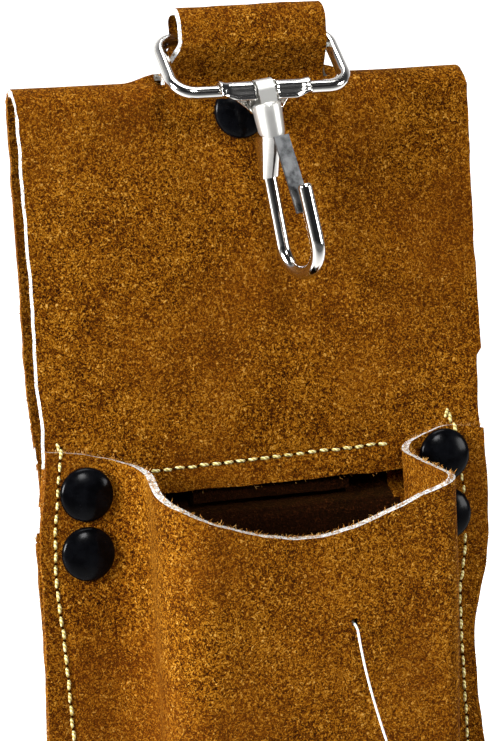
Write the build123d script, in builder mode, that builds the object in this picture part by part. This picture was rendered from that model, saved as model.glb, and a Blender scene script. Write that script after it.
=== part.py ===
"""Electrician's leather tool pouch with a belt tunnel and a swivel snap hook.

Frame: X to the wearer's right as seen from the front, Y towards the wearer, Z up.
The origin is the middle of the belt tunnel, where a belt's centre line passes.
"""
from build123d import *
from math import cos, pi, radians, sin, tan
import os

os.makedirs("parts", exist_ok=True)

# ---- leather ---------------------------------------------------------------
LEATHER = 1.6                 # thickness of the body leather
HALF_WIDTH = 52.5             # the pouch is 105 wide
TUNNEL_GAP = 8.0              # clear room for the belt inside the tunnel
CROWN_Z = 42.5                # top of the fold over the belt
SEAM_Z = -43.0                # line of stitches that closes the tunnel
BOTTOM_Z = -218.0             # lowest edge of the pouch
BOTTOM_CORNER = 30.0          # radius of the two lower corners
FRONT_LAP = 6.0               # front layer ends this far under the seam
JOG_RADIUS = 1.4              # inner and outer bends of the back layer

FACE_Y = -(TUNNEL_GAP / 2 + LEATHER)          # front face of the front layer
REAR_Y = -FACE_Y                              # rearmost face of the pouch
CROWN_OUTER = TUNNEL_GAP / 2 + LEATHER
CROWN_CENTRE_Z = CROWN_Z - CROWN_OUTER

# ---- hanger strap ----------------------------------------------------------
STRAP_HALF = 18.25            # half of the strap's width
STRAP_THICK = 1.4
STRAP_PLY_GAP = 0.1           # air between the two tails
STRAP_TAIL_FRONT = SEAM_Z - 8.9
STRAP_TAIL_BACK = SEAM_Z - 8.0
LOOP_TOP_Z = CROWN_Z + 15.5   # top of the loop that holds the ring
LOOP_HALF_DEPTH = 4.7
SLIT_PLAY = 0.4               # room between the strap and its slit, front and back
SLIT_END_PLAY = 1.75          # and at each end
STRAP_FRONT_Y = FACE_Y + LEATHER
STRAP_MID_Y = STRAP_FRONT_Y + STRAP_THICK + STRAP_PLY_GAP
STRAP_REAR_Y = STRAP_MID_Y + STRAP_THICK

# ---- pocket front ----------------------------------------------------------
POCKET_DEPTH = 28.2           # mouth, front to back
POCKET_DEPTH_LOW = 21.0
POCKET_LOW_Z = -150.0
POCKET_FOOT_Z = -204.0
POCKET_FOOT_DEPTH = 3.4
FOLD_HALF_BACK = 30.0         # half of the pocket's width at the back folds
FOLD_HALF_FRONT = 34.0        # and at the front folds
FRONT_FOLD_RADIUS = 5.0
FLANGE_TOP_OUTER = SEAM_Z + 5.0
FLANGE_TOP_INNER = SEAM_Z + 1.5
MOUTH_BACK_Z = SEAM_Z + 0.4
MOUTH_FRONT_Z = SEAM_Z - 5.4
SCOOP_Z = SEAM_Z - 14.6       # lowest point of the scooped mouth
FLANGE_Y = FACE_Y - LEATHER

# ---- rivets ----------------------------------------------------------------
CAP_RADIUS = 6.0
CAP_HEIGHT = 2.6
CAP_RIM = 0.9                 # straight edge under the dome
SHANK_RADIUS = 1.5
SHANK_PLAY = 0.1
RIVET_X_LEFT = -43.4
RIVET_X_RIGHT = 41.2
RIVET_HIGH_Z = SEAM_Z - 3.5
RIVET_LOW_Z = SEAM_Z - 17.1
BACK_DISC = 1.0
DISC_RADIUS_HIGH = 5.0
DISC_RADIUS_LOW = 3.5
STRAP_RIVET_X = -2.0
STRAP_RIVET_Z = CROWN_Z - 7.9
STRAP_DISC = 0.8
STRAP_DISC_RADIUS = 3.6

# ---- thread ----------------------------------------------------------------
THREAD = 0.8
THREAD_PROUD = 0.5
STITCH_LENGTH = 2.1
STITCH_PITCH = 2.85
STITCH_COUNT = 20
SEAM_INSET = 2.3              # side seams lie this far inside the edge

# ---- ring ------------------------------------------------------------------
WIRE_RADIUS = 1.5
RING_HALF = 19.9              # centre line, middle to side
RING_HEIGHT = 17.9            # centre line, upper bar to lower bar
RING_CORNER = 4.0
RING_CORNER_LOW = 4.8         # its two lower corners are bent wider
RING_TOP = Vector(0, -4.2, CROWN_Z + 8.5)
RING_LEAN = 43.4              # the ring's plane, degrees above level
RING_BUTT = 0.4               # gap where the two ends of the wire meet

# ---- yoke and swivel -------------------------------------------------------
HANG_TILT = 7.5               # the hook hangs this far off plumb
RUNNING_FIT = 0.05
SLEEVE_WALL = 0.5
SLEEVE_FROM = 3.2
SLEEVE_TO = 10.3
YOKE_DROP = 2.35
TONGUE_HALF = 1.9
TONGUE_PLAY = 0.35            # room between the tongue and the ring's wire
TONGUE_INNER = WIRE_RADIUS + TONGUE_PLAY
TONGUE_THICK = 0.55
FERRULE_RADIUS = 3.2
FERRULE_TOP = 2.9
FERRULE_END = 9.6
FERRULE_WALL = 0.8
STUD_RADIUS = 1.4

# ---- snap hook -------------------------------------------------------------
HOOK_TURN = -73.0             # the nose points this way about the swivel's axis
HOOK_WIRE = 1.6
SHANK_U = -3.9
NOSE_U = 9.4
NOSE_TIP_U = 8.3
NOSE_TIP_S = 21.3
BEND_S = 40.7
BEND_RADIUS = 6.3
HEAD_TOP = 9.9
HEAD_END = 19.2
HEAD_HALF_LONG = 4.2
HEAD_HALF_SHORT = 2.5
TUBE_RADIUS = 2.2
GATE_THICK = 0.5
GATE_WIDTH = 4.0
GATE_ROOT_U = 3.1
GATE_ROOT_S = 10.4
GATE_TIP_U = 6.45
GATE_TIP_S = 27.5

# ---- price-tag pin ---------------------------------------------------------
PIN_X = 7.7
PIN_Z = SEAM_Z - 35.0
PIN_DIAMETER = 0.5
PIN_HOLE_RADIUS = 0.8
T_BAR_LENGTH = 9.0
T_BAR_RADIUS = 0.5
PADDLE_LENGTH = 4.5
PADDLE_WIDTH = 1.8
PADDLE_THICK = 0.7

# ---- derived frames --------------------------------------------------------
RING_DOWN = Vector(0, -cos(radians(RING_LEAN)), -sin(radians(RING_LEAN)))
RING_LOW = RING_TOP + RING_DOWN * RING_HEIGHT
RING_PLANE = Plane(origin=RING_TOP, x_dir=(1, 0, 0), z_dir=Vector(1, 0, 0).cross(-RING_DOWN))

HANG_UP = Vector(-sin(radians(HANG_TILT)), 0, cos(radians(HANG_TILT)))
TURN = Vector(cos(radians(HOOK_TURN)), sin(radians(HOOK_TURN)), 0)
HOOK_U = (TURN - HANG_UP * TURN.dot(HANG_UP)).normalized()
# In HOOK_PLANE x runs from the shank to the nose and y runs up the swivel's axis.
HOOK_PLANE = Plane(origin=RING_LOW, x_dir=HOOK_U, z_dir=HOOK_U.cross(HANG_UP))
SWIVEL_AXIS = Axis(RING_LOW, HANG_UP)
TONGUE_PLANE = Plane(origin=RING_LOW, x_dir=(0, 1, 0), z_dir=Vector(0, 1, 0).cross(HANG_UP))
YOKE_PLANE = Plane(origin=RING_LOW, x_dir=(1, 0, 0), z_dir=(0, -1, 0))


def across(distance):
    """A plane square to the swivel's axis, this far below the ring's lower bar."""
    return Plane(origin=RING_LOW - HANG_UP * distance, x_dir=HOOK_U, z_dir=HANG_UP)


def facing_front(y):
    """A plane parallel to the pouch's front, with sketch x along X and sketch y up."""
    return Plane(origin=(0, y, 0), x_dir=(1, 0, 0), z_dir=(0, -1, 0))


def save(builder, label):
    """Name a finished piece and write it."""
    builder.part.label = label
    export_step(builder.part, f"parts/{label}.step")


def round_bottom(half_width, top, bottom, corner):
    """A line down one side, round the two lower corners and up the other side."""
    with BuildLine() as line:
        FilletPolyline(
            (half_width, top),
            (half_width, bottom),
            (-half_width, bottom),
            (-half_width, top),
            radius=corner,
        )
    return line.line


RIVETS = [
    (RIVET_X_LEFT, RIVET_HIGH_Z),
    (RIVET_X_RIGHT, RIVET_HIGH_Z),
    (RIVET_X_LEFT, RIVET_LOW_Z),
    (RIVET_X_RIGHT, RIVET_LOW_Z),
]
SHANK_HOLE = SHANK_RADIUS + SHANK_PLAY

# ---- back panel: front layer, crown, tunnel back and pocket back in one hide -
LAYER_Y = FACE_Y + LEATHER / 2
SEAM_BACK_Y = STRAP_REAR_Y + LEATHER / 2
with BuildPart() as back_panel:
    with BuildSketch(Plane.YZ):
        with BuildLine():
            Line((LAYER_Y, SEAM_Z - FRONT_LAP), (LAYER_Y, CROWN_CENTRE_Z))
            ThreePointArc((LAYER_Y, CROWN_CENTRE_Z), (0, CROWN_Z - LEATHER / 2), (-LAYER_Y, CROWN_CENTRE_Z))
            FilletPolyline(
                (-LAYER_Y, CROWN_CENTRE_Z),
                (-LAYER_Y, SEAM_Z + 11.5),
                (SEAM_BACK_Y, SEAM_Z + 2.4),
                (SEAM_BACK_Y, STRAP_TAIL_FRONT - 1.1),
                (LAYER_Y, STRAP_TAIL_FRONT - 3.8),
                (LAYER_Y, BOTTOM_Z),
                radius=JOG_RADIUS,
            )
        trace(line_width=LEATHER)
    extrude(amount=HALF_WIDTH, both=True)
    with BuildSketch(facing_front(FACE_Y - 1.0)):
        with BuildLine():
            Line((-HALF_WIDTH, CROWN_Z + 1.0), (HALF_WIDTH, CROWN_Z + 1.0))
            add(round_bottom(HALF_WIDTH, CROWN_Z + 1.0, BOTTOM_Z, BOTTOM_CORNER))
        make_face()
    extrude(amount=-(2 * REAR_Y + 2.0), mode=Mode.INTERSECT)
    # The slit that the strap comes up through.
    with BuildSketch(Plane.XY.offset(CROWN_CENTRE_Z)):
        with Locations((0, (STRAP_FRONT_Y + STRAP_REAR_Y) / 2)):
            Rectangle(2 * (STRAP_HALF + SLIT_END_PLAY), STRAP_REAR_Y - STRAP_FRONT_Y + 2 * SLIT_PLAY)
    extrude(amount=CROWN_OUTER + 1.0, mode=Mode.SUBTRACT)
    # Rivet holes: the high pair through both layers, the low pair through one.
    with BuildSketch(facing_front(FACE_Y - 1.0)):
        with Locations(*RIVETS):
            Circle(SHANK_HOLE)
    extrude(amount=-(SEAM_BACK_Y + LEATHER - FACE_Y + 1.0), mode=Mode.SUBTRACT)
    with BuildSketch(facing_front(FACE_Y - 1.0)):
        with Locations((STRAP_RIVET_X, STRAP_RIVET_Z)):
            Circle(SHANK_HOLE)
    extrude(amount=-(LEATHER + 2.0), mode=Mode.SUBTRACT)
save(back_panel, "back_panel")

# ---- front panel: two sewn flanges, two gussets and the pocket's front -------
POCKET_SECTIONS = [
    (SEAM_Z + 8.0, POCKET_DEPTH, FOLD_HALF_BACK, FOLD_HALF_FRONT, FRONT_FOLD_RADIUS),
    (MOUTH_FRONT_Z, POCKET_DEPTH, FOLD_HALF_BACK, FOLD_HALF_FRONT, FRONT_FOLD_RADIUS),
    (POCKET_LOW_Z, POCKET_DEPTH_LOW, FOLD_HALF_BACK, FOLD_HALF_FRONT, FRONT_FOLD_RADIUS),
    (POCKET_FOOT_Z, POCKET_FOOT_DEPTH, FOLD_HALF_BACK + 1.0, FOLD_HALF_FRONT - 2.0, LEATHER),
]


def pocket_section(height, depth, back_half, front_half, corner, inset):
    """One level section of the pocket, drawn inset millimetres inside its outer face."""
    front_y = FACE_Y - depth + inset
    back_y = FACE_Y + (1.0 if inset else 0.0)
    with BuildSketch(Plane.XY.offset(height)) as section:
        with BuildLine():
            back_left = (-(back_half - inset), back_y)
            back_right = (back_half - inset, back_y)
            Line(back_right, back_left)
            FilletPolyline(
                back_left,
                (-(front_half - inset), front_y),
                (front_half - inset, front_y),
                back_right,
                radius=max(corner - inset, 0.3),
            )
        make_face()
    return section.sketch


with BuildPart() as pocket_hollow:
    for height, depth, back_half, front_half, corner in POCKET_SECTIONS:
        add(pocket_section(height, depth, back_half, front_half, corner, LEATHER))
    loft(ruled=True)

with BuildPart() as front_panel:
    with BuildSketch(facing_front(FACE_Y)):
        with BuildLine():
            Polyline(
                (-HALF_WIDTH, FLANGE_TOP_OUTER),
                (-FOLD_HALF_BACK, FLANGE_TOP_INNER),
                (FOLD_HALF_BACK, FLANGE_TOP_INNER),
                (HALF_WIDTH, FLANGE_TOP_OUTER),
            )
            add(round_bottom(HALF_WIDTH, FLANGE_TOP_OUTER, BOTTOM_Z, BOTTOM_CORNER))
        make_face()
    extrude(amount=LEATHER)
    with BuildSketch(facing_front(FACE_Y - 1.0)):
        with Locations(*RIVETS):
            Circle(SHANK_HOLE)
    extrude(amount=-2.0, both=True, mode=Mode.SUBTRACT)

with BuildPart() as pocket_outer:
    for height, depth, back_half, front_half, corner in POCKET_SECTIONS:
        add(pocket_section(height, depth, back_half, front_half, corner, 0.0))
    loft(ruled=True)
    # The gussets' top edges slope down to the front corners.
    with BuildSketch(Plane.YZ):
        with BuildLine():
            Polyline(
                (FACE_Y + 1.0, SEAM_Z + 9.0),
                (FACE_Y + 1.0, MOUTH_BACK_Z),
                (FACE_Y, MOUTH_BACK_Z),
                (FACE_Y - POCKET_DEPTH, MOUTH_FRONT_Z),
                (FACE_Y - POCKET_DEPTH - 1.0, MOUTH_FRONT_Z),
                (FACE_Y - POCKET_DEPTH - 1.0, SEAM_Z + 9.0),
                close=True,
            )
        make_face()
    extrude(amount=HALF_WIDTH, both=True, mode=Mode.SUBTRACT)
    # The scooped mouth.
    scoop_half = FOLD_HALF_FRONT - FRONT_FOLD_RADIUS
    with BuildSketch(facing_front(FACE_Y - POCKET_DEPTH / 2)):
        with BuildLine():
            ThreePointArc((-scoop_half, MOUTH_FRONT_Z), (0, SCOOP_Z), (scoop_half, MOUTH_FRONT_Z))
            Polyline(
                (scoop_half, MOUTH_FRONT_Z),
                (scoop_half, SEAM_Z + 9.0),
                (-scoop_half, SEAM_Z + 9.0),
                (-scoop_half, MOUTH_FRONT_Z),
            )
        make_face()
    extrude(amount=POCKET_DEPTH, mode=Mode.SUBTRACT)

with front_panel:
    add(pocket_outer.part)
    add(pocket_hollow.part, mode=Mode.SUBTRACT)
    with BuildSketch(facing_front(FACE_Y - POCKET_DEPTH / 2)):
        with Locations((PIN_X, PIN_Z)):
            Circle(PIN_HOLE_RADIUS)
    extrude(amount=POCKET_DEPTH, mode=Mode.SUBTRACT)
save(front_panel, "front_panel")

# ---- hanger strap: two tails in the tunnel and a loop round the ring's bar ---
loop_front_y = RING_TOP.Y - LOOP_HALF_DEPTH + STRAP_THICK
loop_rear_y = RING_TOP.Y + LOOP_HALF_DEPTH - STRAP_THICK / 2
tail_front_y = STRAP_FRONT_Y + STRAP_THICK / 2
tail_back_y = STRAP_MID_Y + STRAP_THICK / 2
loop_mid_z = RING_TOP.Z + 0.5
with BuildPart() as hanger_strap:
    with BuildSketch(Plane.YZ):
        with BuildLine():
            FilletPolyline(
                (tail_front_y, STRAP_TAIL_FRONT),
                (tail_front_y, CROWN_Z + 1.0),
                (loop_front_y - 0.8, loop_mid_z - 2.0),
                (loop_front_y - 0.6, LOOP_TOP_Z - STRAP_THICK / 2),
                (loop_rear_y, LOOP_TOP_Z - STRAP_THICK / 2),
                (loop_rear_y + 0.3, loop_mid_z - 2.0),
                (tail_back_y, CROWN_Z + 1.0),
                (tail_back_y, STRAP_TAIL_BACK),
                radius=2.0,
            )
        trace(line_width=STRAP_THICK)
    extrude(amount=STRAP_HALF, both=True)
    with BuildSketch(facing_front(FACE_Y - 1.0)):
        with Locations((STRAP_RIVET_X, STRAP_RIVET_Z)):
            Circle(SHANK_HOLE)
    extrude(amount=-(STRAP_REAR_Y - FACE_Y + 1.5), mode=Mode.SUBTRACT)
save(hanger_strap, "hanger_strap")


# ---- rivets ----------------------------------------------------------------
def rivet(label, x, z, seat_y, end_y, disc_radius, disc_thick):
    """A domed cap with its shank in front, and a flat burr that the shank fills behind."""
    axis = Axis((x, 0, z), (0, 1, 0))
    section = Plane(origin=(x, 0, z), x_dir=(1, 0, 0), z_dir=(0, 0, 1))
    with BuildPart() as cap:
        with BuildSketch(section):
            with BuildLine():
                crown = (0, seat_y - CAP_HEIGHT)
                rim = (CAP_RADIUS, seat_y - CAP_RIM)
                TangentArc(crown, rim, tangent=(1, 0))
                Polyline(
                    rim,
                    (CAP_RADIUS, seat_y),
                    (SHANK_RADIUS, seat_y),
                    (SHANK_RADIUS, end_y + disc_thick),
                    (0, end_y + disc_thick),
                    crown,
                )
            make_face()
        revolve(axis=axis)
    save(cap, f"{label}_cap")
    with BuildPart() as burr:
        with BuildSketch(facing_front(end_y)):
            with Locations((x, z)):
                Circle(disc_radius)
                Circle(SHANK_RADIUS, mode=Mode.SUBTRACT)
        extrude(amount=-disc_thick)
    save(burr, f"{label}_burr")


SEAM_REAR_Y = SEAM_BACK_Y + LEATHER / 2
rivet("left_upper_rivet", RIVET_X_LEFT, RIVET_HIGH_Z, FLANGE_Y, SEAM_REAR_Y, DISC_RADIUS_HIGH, BACK_DISC)
rivet("right_upper_rivet", RIVET_X_RIGHT, RIVET_HIGH_Z, FLANGE_Y, SEAM_REAR_Y, DISC_RADIUS_HIGH, BACK_DISC)
rivet("left_lower_rivet", RIVET_X_LEFT, RIVET_LOW_Z, FLANGE_Y, FACE_Y + LEATHER, DISC_RADIUS_LOW, BACK_DISC)
rivet("right_lower_rivet", RIVET_X_RIGHT, RIVET_LOW_Z, FLANGE_Y, FACE_Y + LEATHER, DISC_RADIUS_LOW, BACK_DISC)
rivet(
    "strap_rivet",
    STRAP_RIVET_X,
    STRAP_RIVET_Z,
    FACE_Y,
    STRAP_REAR_Y,
    STRAP_DISC_RADIUS,
    STRAP_DISC,
)

# ---- thread ----------------------------------------------------------------
with BuildPart() as tunnel_stitching:
    with BuildSketch(facing_front(FACE_Y)):
        with GridLocations(STITCH_PITCH, 1, STITCH_COUNT, 1):
            with Locations((0, SEAM_Z)):
                Rectangle(STITCH_LENGTH, THREAD)
    extrude(amount=THREAD_PROUD)
save(tunnel_stitching, "tunnel_stitching")

with BuildPart() as edge_stitching:
    seam_half = HALF_WIDTH - SEAM_INSET
    seam_top = FLANGE_TOP_OUTER - 1.0
    with BuildSketch(facing_front(FLANGE_Y)):
        with BuildLine():
            add(round_bottom(seam_half, seam_top, BOTTOM_Z + SEAM_INSET, BOTTOM_CORNER - SEAM_INSET))
        trace(line_width=THREAD)
    extrude(amount=THREAD_PROUD)
save(edge_stitching, "edge_stitching")

# ---- ring ------------------------------------------------------------------
with BuildPart() as ring:
    with BuildLine(RING_PLANE) as ring_line:
        FilletPolyline(
            (RING_BUTT / 2, -RING_HEIGHT),
            (RING_HALF, -RING_HEIGHT),
            (RING_HALF, 0),
            (-RING_HALF, 0),
            (-RING_HALF, -RING_HEIGHT),
            (-RING_BUTT / 2, -RING_HEIGHT),
            radius=[RING_CORNER_LOW, RING_CORNER, RING_CORNER, RING_CORNER_LOW],
        )
    with BuildSketch(Plane(origin=ring_line.line @ 0, z_dir=ring_line.line % 0)):
        Circle(WIRE_RADIUS)
    sweep()
save(ring, "ring")

# ---- yoke: two sleeves on the ring's lower bar, joined by a plate behind -----
SLEEVE_OUTER = WIRE_RADIUS + RUNNING_FIT + SLEEVE_WALL
PLATE_REAR = TONGUE_INNER + TONGUE_THICK + 0.7
PLATE_FRONT = TONGUE_INNER + TONGUE_THICK + 0.15
with BuildPart() as yoke:
    for side in (-1, 1):
        with BuildSketch(Plane.YZ.offset(side * SLEEVE_FROM)):
            with Locations((RING_LOW.Y, RING_LOW.Z)):
                Circle(SLEEVE_OUTER)
        extrude(amount=side * (SLEEVE_TO - SLEEVE_FROM))
        # A leaf-shaped lip under each sleeve.
        with BuildSketch(YOKE_PLANE.offset(WIRE_RADIUS + RUNNING_FIT + 0.05)):
            with BuildLine():
                Polyline(
                    (side * SLEEVE_FROM, -YOKE_DROP),
                    (side * SLEEVE_FROM, 0),
                    (side * SLEEVE_TO, 0),
                    (side * SLEEVE_TO, -0.8),
                )
                ThreePointArc(
                    (side * SLEEVE_TO, -0.8),
                    (side * (SLEEVE_TO + SLEEVE_FROM) / 2, -YOKE_DROP + 0.35),
                    (side * SLEEVE_FROM, -YOKE_DROP),
                )
            make_face()
        extrude(amount=SLEEVE_WALL)
    with BuildSketch(Plane.XY.offset(RING_LOW.Z - YOKE_DROP)):
        with Locations((0, RING_LOW.Y + (WIRE_RADIUS + PLATE_REAR) / 2)):
            Rectangle(2 * SLEEVE_TO - 4.0, PLATE_REAR - WIRE_RADIUS)
        with Locations((0, RING_LOW.Y + PLATE_FRONT / 2)):
            Rectangle(2 * SLEEVE_FROM, PLATE_FRONT, mode=Mode.SUBTRACT)
    extrude(amount=YOKE_DROP + 1.0)
    with BuildSketch(Plane.YZ):
        with Locations((RING_LOW.Y, RING_LOW.Z)):
            Circle(WIRE_RADIUS + RUNNING_FIT)
    extrude(amount=SLEEVE_TO + 1.0, both=True, mode=Mode.SUBTRACT)
save(yoke, "yoke")

# ---- swivel tongue: a strip folded over the bar, both ends in the ferrule ----
with BuildPart() as swivel_tongue:
    with BuildSketch(TONGUE_PLANE):
        with BuildLine():
            outer = TONGUE_INNER + TONGUE_THICK
            Line((-TONGUE_INNER, -FERRULE_TOP), (-TONGUE_INNER, 0))
            ThreePointArc((-TONGUE_INNER, 0), (0, TONGUE_INNER), (TONGUE_INNER, 0))
            Polyline((TONGUE_INNER, 0), (TONGUE_INNER, -FERRULE_TOP), (outer, -FERRULE_TOP), (outer, 0))
            ThreePointArc((outer, 0), (0, outer), (-outer, 0))
            Polyline((-outer, 0), (-outer, -FERRULE_TOP), (-TONGUE_INNER, -FERRULE_TOP))
        make_face()
    extrude(amount=TONGUE_HALF, both=True)
save(swivel_tongue, "swivel_tongue")

# ---- ferrule ---------------------------------------------------------------
STUD_HEAD = FERRULE_RADIUS - FERRULE_WALL - 0.3
with BuildPart() as ferrule:
    with BuildSketch(HOOK_PLANE):
        with BuildLine():
            cavity = FERRULE_RADIUS - FERRULE_WALL
            neck = STUD_RADIUS + RUNNING_FIT
            Polyline(
                (0, -FERRULE_TOP),
                (FERRULE_RADIUS, -FERRULE_TOP),
                (FERRULE_RADIUS, -FERRULE_END),
                (neck, -FERRULE_END),
                (neck, -FERRULE_END + 1.0),
                (cavity, -FERRULE_END + 1.0),
                (cavity, -FERRULE_TOP - 1.0),
                (0, -FERRULE_TOP - 1.0),
                close=True,
            )
        make_face()
    revolve(axis=SWIVEL_AXIS)
save(ferrule, "ferrule")

with BuildPart() as swivel_stud:
    with BuildSketch(HOOK_PLANE):
        with BuildLine():
            head_low = -FERRULE_END + 1.0 + 2 * RUNNING_FIT
            Polyline(
                (0, head_low + 1.2),
                (STUD_HEAD, head_low + 1.2),
                (STUD_HEAD, head_low),
                (STUD_RADIUS, head_low),
                (STUD_RADIUS, -HEAD_TOP - 1.8),
                (0, -HEAD_TOP - 1.8),
                close=True,
            )
        make_face()
    revolve(axis=SWIVEL_AXIS)
save(swivel_stud, "swivel_stud")

# ---- hook head: a flared sleeve that grips the wire and the stud -------------
with BuildPart() as hook_head:
    with BuildSketch(across(HEAD_TOP)):
        with Locations((SHANK_U / 2 + 0.3, 0)):
            Ellipse(HEAD_HALF_LONG, HEAD_HALF_SHORT)
    with BuildSketch(across(HEAD_END)):
        with Locations((SHANK_U, 0)):
            Circle(TUBE_RADIUS)
    loft(ruled=True)
    with BuildSketch(across(HEAD_TOP - 1.0)):
        Circle(STUD_RADIUS + RUNNING_FIT)
    extrude(amount=-3.0, mode=Mode.SUBTRACT)
    with BuildSketch(across(HEAD_END + 1.0)):
        with Locations((SHANK_U, 0)):
            Circle(HOOK_WIRE + RUNNING_FIT)
    extrude(amount=6.5, mode=Mode.SUBTRACT)
save(hook_head, "hook_head")

with BuildPart() as hook_wire:
    with BuildLine(HOOK_PLANE) as hook_line:
        FilletPolyline(
            (SHANK_U, -HEAD_END + 5.0),
            (SHANK_U, -BEND_S),
            (NOSE_U, -BEND_S),
            (NOSE_TIP_U, -NOSE_TIP_S),
            radius=BEND_RADIUS,
        )
    with BuildSketch(Plane(origin=hook_line.line @ 0, z_dir=hook_line.line % 0)):
        Circle(HOOK_WIRE)
    sweep()
    tip = hook_wire.part.faces().filter_by(GeomType.PLANE).sort_by_distance(hook_line.line @ 1)[0]
    fillet(tip.edges(), radius=HOOK_WIRE * 0.6)
save(hook_wire, "hook_wire")

# ---- gate: a flat leaf that closes the hook from its head to its nose --------
with BuildPart() as gate_spring:
    root = Vector(GATE_ROOT_U, -GATE_ROOT_S)
    tip = Vector(GATE_TIP_U, -GATE_TIP_S)
    half = (tip - root).normalized().rotate(Axis.Z, 90) * (GATE_THICK / 2)
    with BuildSketch(HOOK_PLANE):
        with BuildLine():
            corners = [root + half, tip + half, tip - half, root - half]
            Polyline(*[(point.X, point.Y) for point in corners], close=True)
        make_face()
    extrude(amount=GATE_WIDTH / 2, both=True)
save(gate_spring, "gate_spring")


# ---- tag pin: a T-bar inside the pocket and a filament that hangs in front ---
def front_face_y(z):
    """Y of the pocket front's outer face between the mouth and POCKET_LOW_Z."""
    share = (MOUTH_FRONT_Z - z) / (MOUTH_FRONT_Z - POCKET_LOW_Z)
    return FACE_Y - (POCKET_DEPTH + (POCKET_DEPTH_LOW - POCKET_DEPTH) * share)


exit_y = front_face_y(PIN_Z)
bar_y = exit_y + LEATHER + T_BAR_RADIUS + 0.4
with BuildPart() as tag_t_bar:
    with BuildSketch(Plane.XY.offset(PIN_Z - T_BAR_LENGTH / 2)):
        with Locations((PIN_X, bar_y)):
            Circle(T_BAR_RADIUS)
    extrude(amount=T_BAR_LENGTH)
save(tag_t_bar, "tag_t_bar")

FILAMENT_ROUTE = [
    Vector(PIN_X, bar_y - T_BAR_RADIUS, PIN_Z),
    Vector(PIN_X, exit_y - 2.4, PIN_Z),
    Vector(7.6, exit_y - 3.9, PIN_Z - 4.2),
    Vector(8.5, exit_y - 4.3, PIN_Z - 11.0),
    Vector(10.4, exit_y - 4.2, PIN_Z - 19.5),
    Vector(13.1, exit_y - 3.7, PIN_Z - 29.0),
    Vector(16.4, exit_y - 3.3, PIN_Z - 38.5),
    Vector(19.3, exit_y - 3.1, PIN_Z - 46.0),
]
runs = [(b - a).length for a, b in zip(FILAMENT_ROUTE, FILAMENT_ROUTE[1:])]
turns = [
    (b - a).get_angle(c - b)
    for a, b, c in zip(FILAMENT_ROUTE, FILAMENT_ROUTE[1:], FILAMENT_ROUTE[2:])
]
filament_radii = [
    0.45 * min(first, second) / tan(radians(turn) / 2)
    for first, second, turn in zip(runs, runs[1:], turns)
]
print("filament radii", [round(radius, 1) for radius in filament_radii])
with BuildPart() as tag_filament:
    with BuildLine() as filament_line:
        FilletPolyline(*FILAMENT_ROUTE, radius=filament_radii)
    with BuildSketch(Plane(origin=filament_line.line @ 0, z_dir=filament_line.line % 0)):
        Circle(PIN_DIAMETER / 2)
    sweep()
filament_length = filament_line.wires()[0].length
section_volume = pi * (PIN_DIAMETER / 2) ** 2 * filament_length
print("filament length", filament_length, "volume", tag_filament.part.volume, section_volume)
save(tag_filament, "tag_filament")

with BuildPart() as tag_paddle:
    paddle_way = (FILAMENT_ROUTE[-1] - FILAMENT_ROUTE[-2]).normalized()
    with BuildSketch(Plane(origin=FILAMENT_ROUTE[-1], x_dir=(0, -1, 0.1), z_dir=paddle_way)):
        Rectangle(PADDLE_THICK, PADDLE_WIDTH)
    extrude(amount=PADDLE_LENGTH)
save(tag_paddle, "tag_paddle")
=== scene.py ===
"""Electrician's suede tool pouch: leather, thread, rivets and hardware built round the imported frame.

Frame: +X to the viewer's right, +Y towards the wearer, +Z up, in metres.
The sheets of leather are worked out in millimetres and scaled once when their points are written.
"""
import logging
import math
import random
from dataclasses import dataclass, field
from enum import Enum
from typing import Callable, Iterable, Sequence

import bmesh
import bpy
from mathutils import Matrix, Vector, noise


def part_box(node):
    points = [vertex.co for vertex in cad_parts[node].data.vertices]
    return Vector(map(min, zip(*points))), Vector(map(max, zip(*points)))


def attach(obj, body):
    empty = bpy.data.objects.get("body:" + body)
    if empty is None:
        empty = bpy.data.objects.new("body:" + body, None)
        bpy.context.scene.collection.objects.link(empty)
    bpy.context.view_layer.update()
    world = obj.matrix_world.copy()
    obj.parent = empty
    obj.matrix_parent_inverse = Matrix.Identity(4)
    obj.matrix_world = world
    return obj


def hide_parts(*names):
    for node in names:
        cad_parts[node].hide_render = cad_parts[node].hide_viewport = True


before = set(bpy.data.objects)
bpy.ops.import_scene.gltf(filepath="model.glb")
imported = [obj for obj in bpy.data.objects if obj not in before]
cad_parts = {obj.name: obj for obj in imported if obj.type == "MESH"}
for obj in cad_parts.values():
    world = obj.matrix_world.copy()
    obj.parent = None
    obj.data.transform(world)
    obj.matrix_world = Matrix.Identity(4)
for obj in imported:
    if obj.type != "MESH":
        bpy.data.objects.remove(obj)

Piece, Material = bpy.types.Object, bpy.types.Material
Tree, Socket, Shader = bpy.types.NodeTree, bpy.types.NodeSocket, bpy.types.bpy_prop_collection
Rims = list[tuple[Vector, Vector]]         # middle in millimetres and normal of each face of a cut edge
Pairs = Sequence[tuple[float, float]]
Stitches = Iterable[
    tuple[Vector, Vector, Vector]
]      # middle, seam's direction and outward normal of each

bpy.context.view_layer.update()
MM = 0.001
LOG = logging.getLogger("pouch")

# ---- places read from the frame, in millimetres -----------------------------
BACK_LOW, BACK_HIGH = (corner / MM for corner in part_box("back_panel"))
FRONT_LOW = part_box("front_panel")[0] / MM
STRAP_LOW, STRAP_HIGH = (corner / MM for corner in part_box("hanger_strap"))
SEAM_LOW, SEAM_HIGH = (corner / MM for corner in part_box("tunnel_stitching"))

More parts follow.
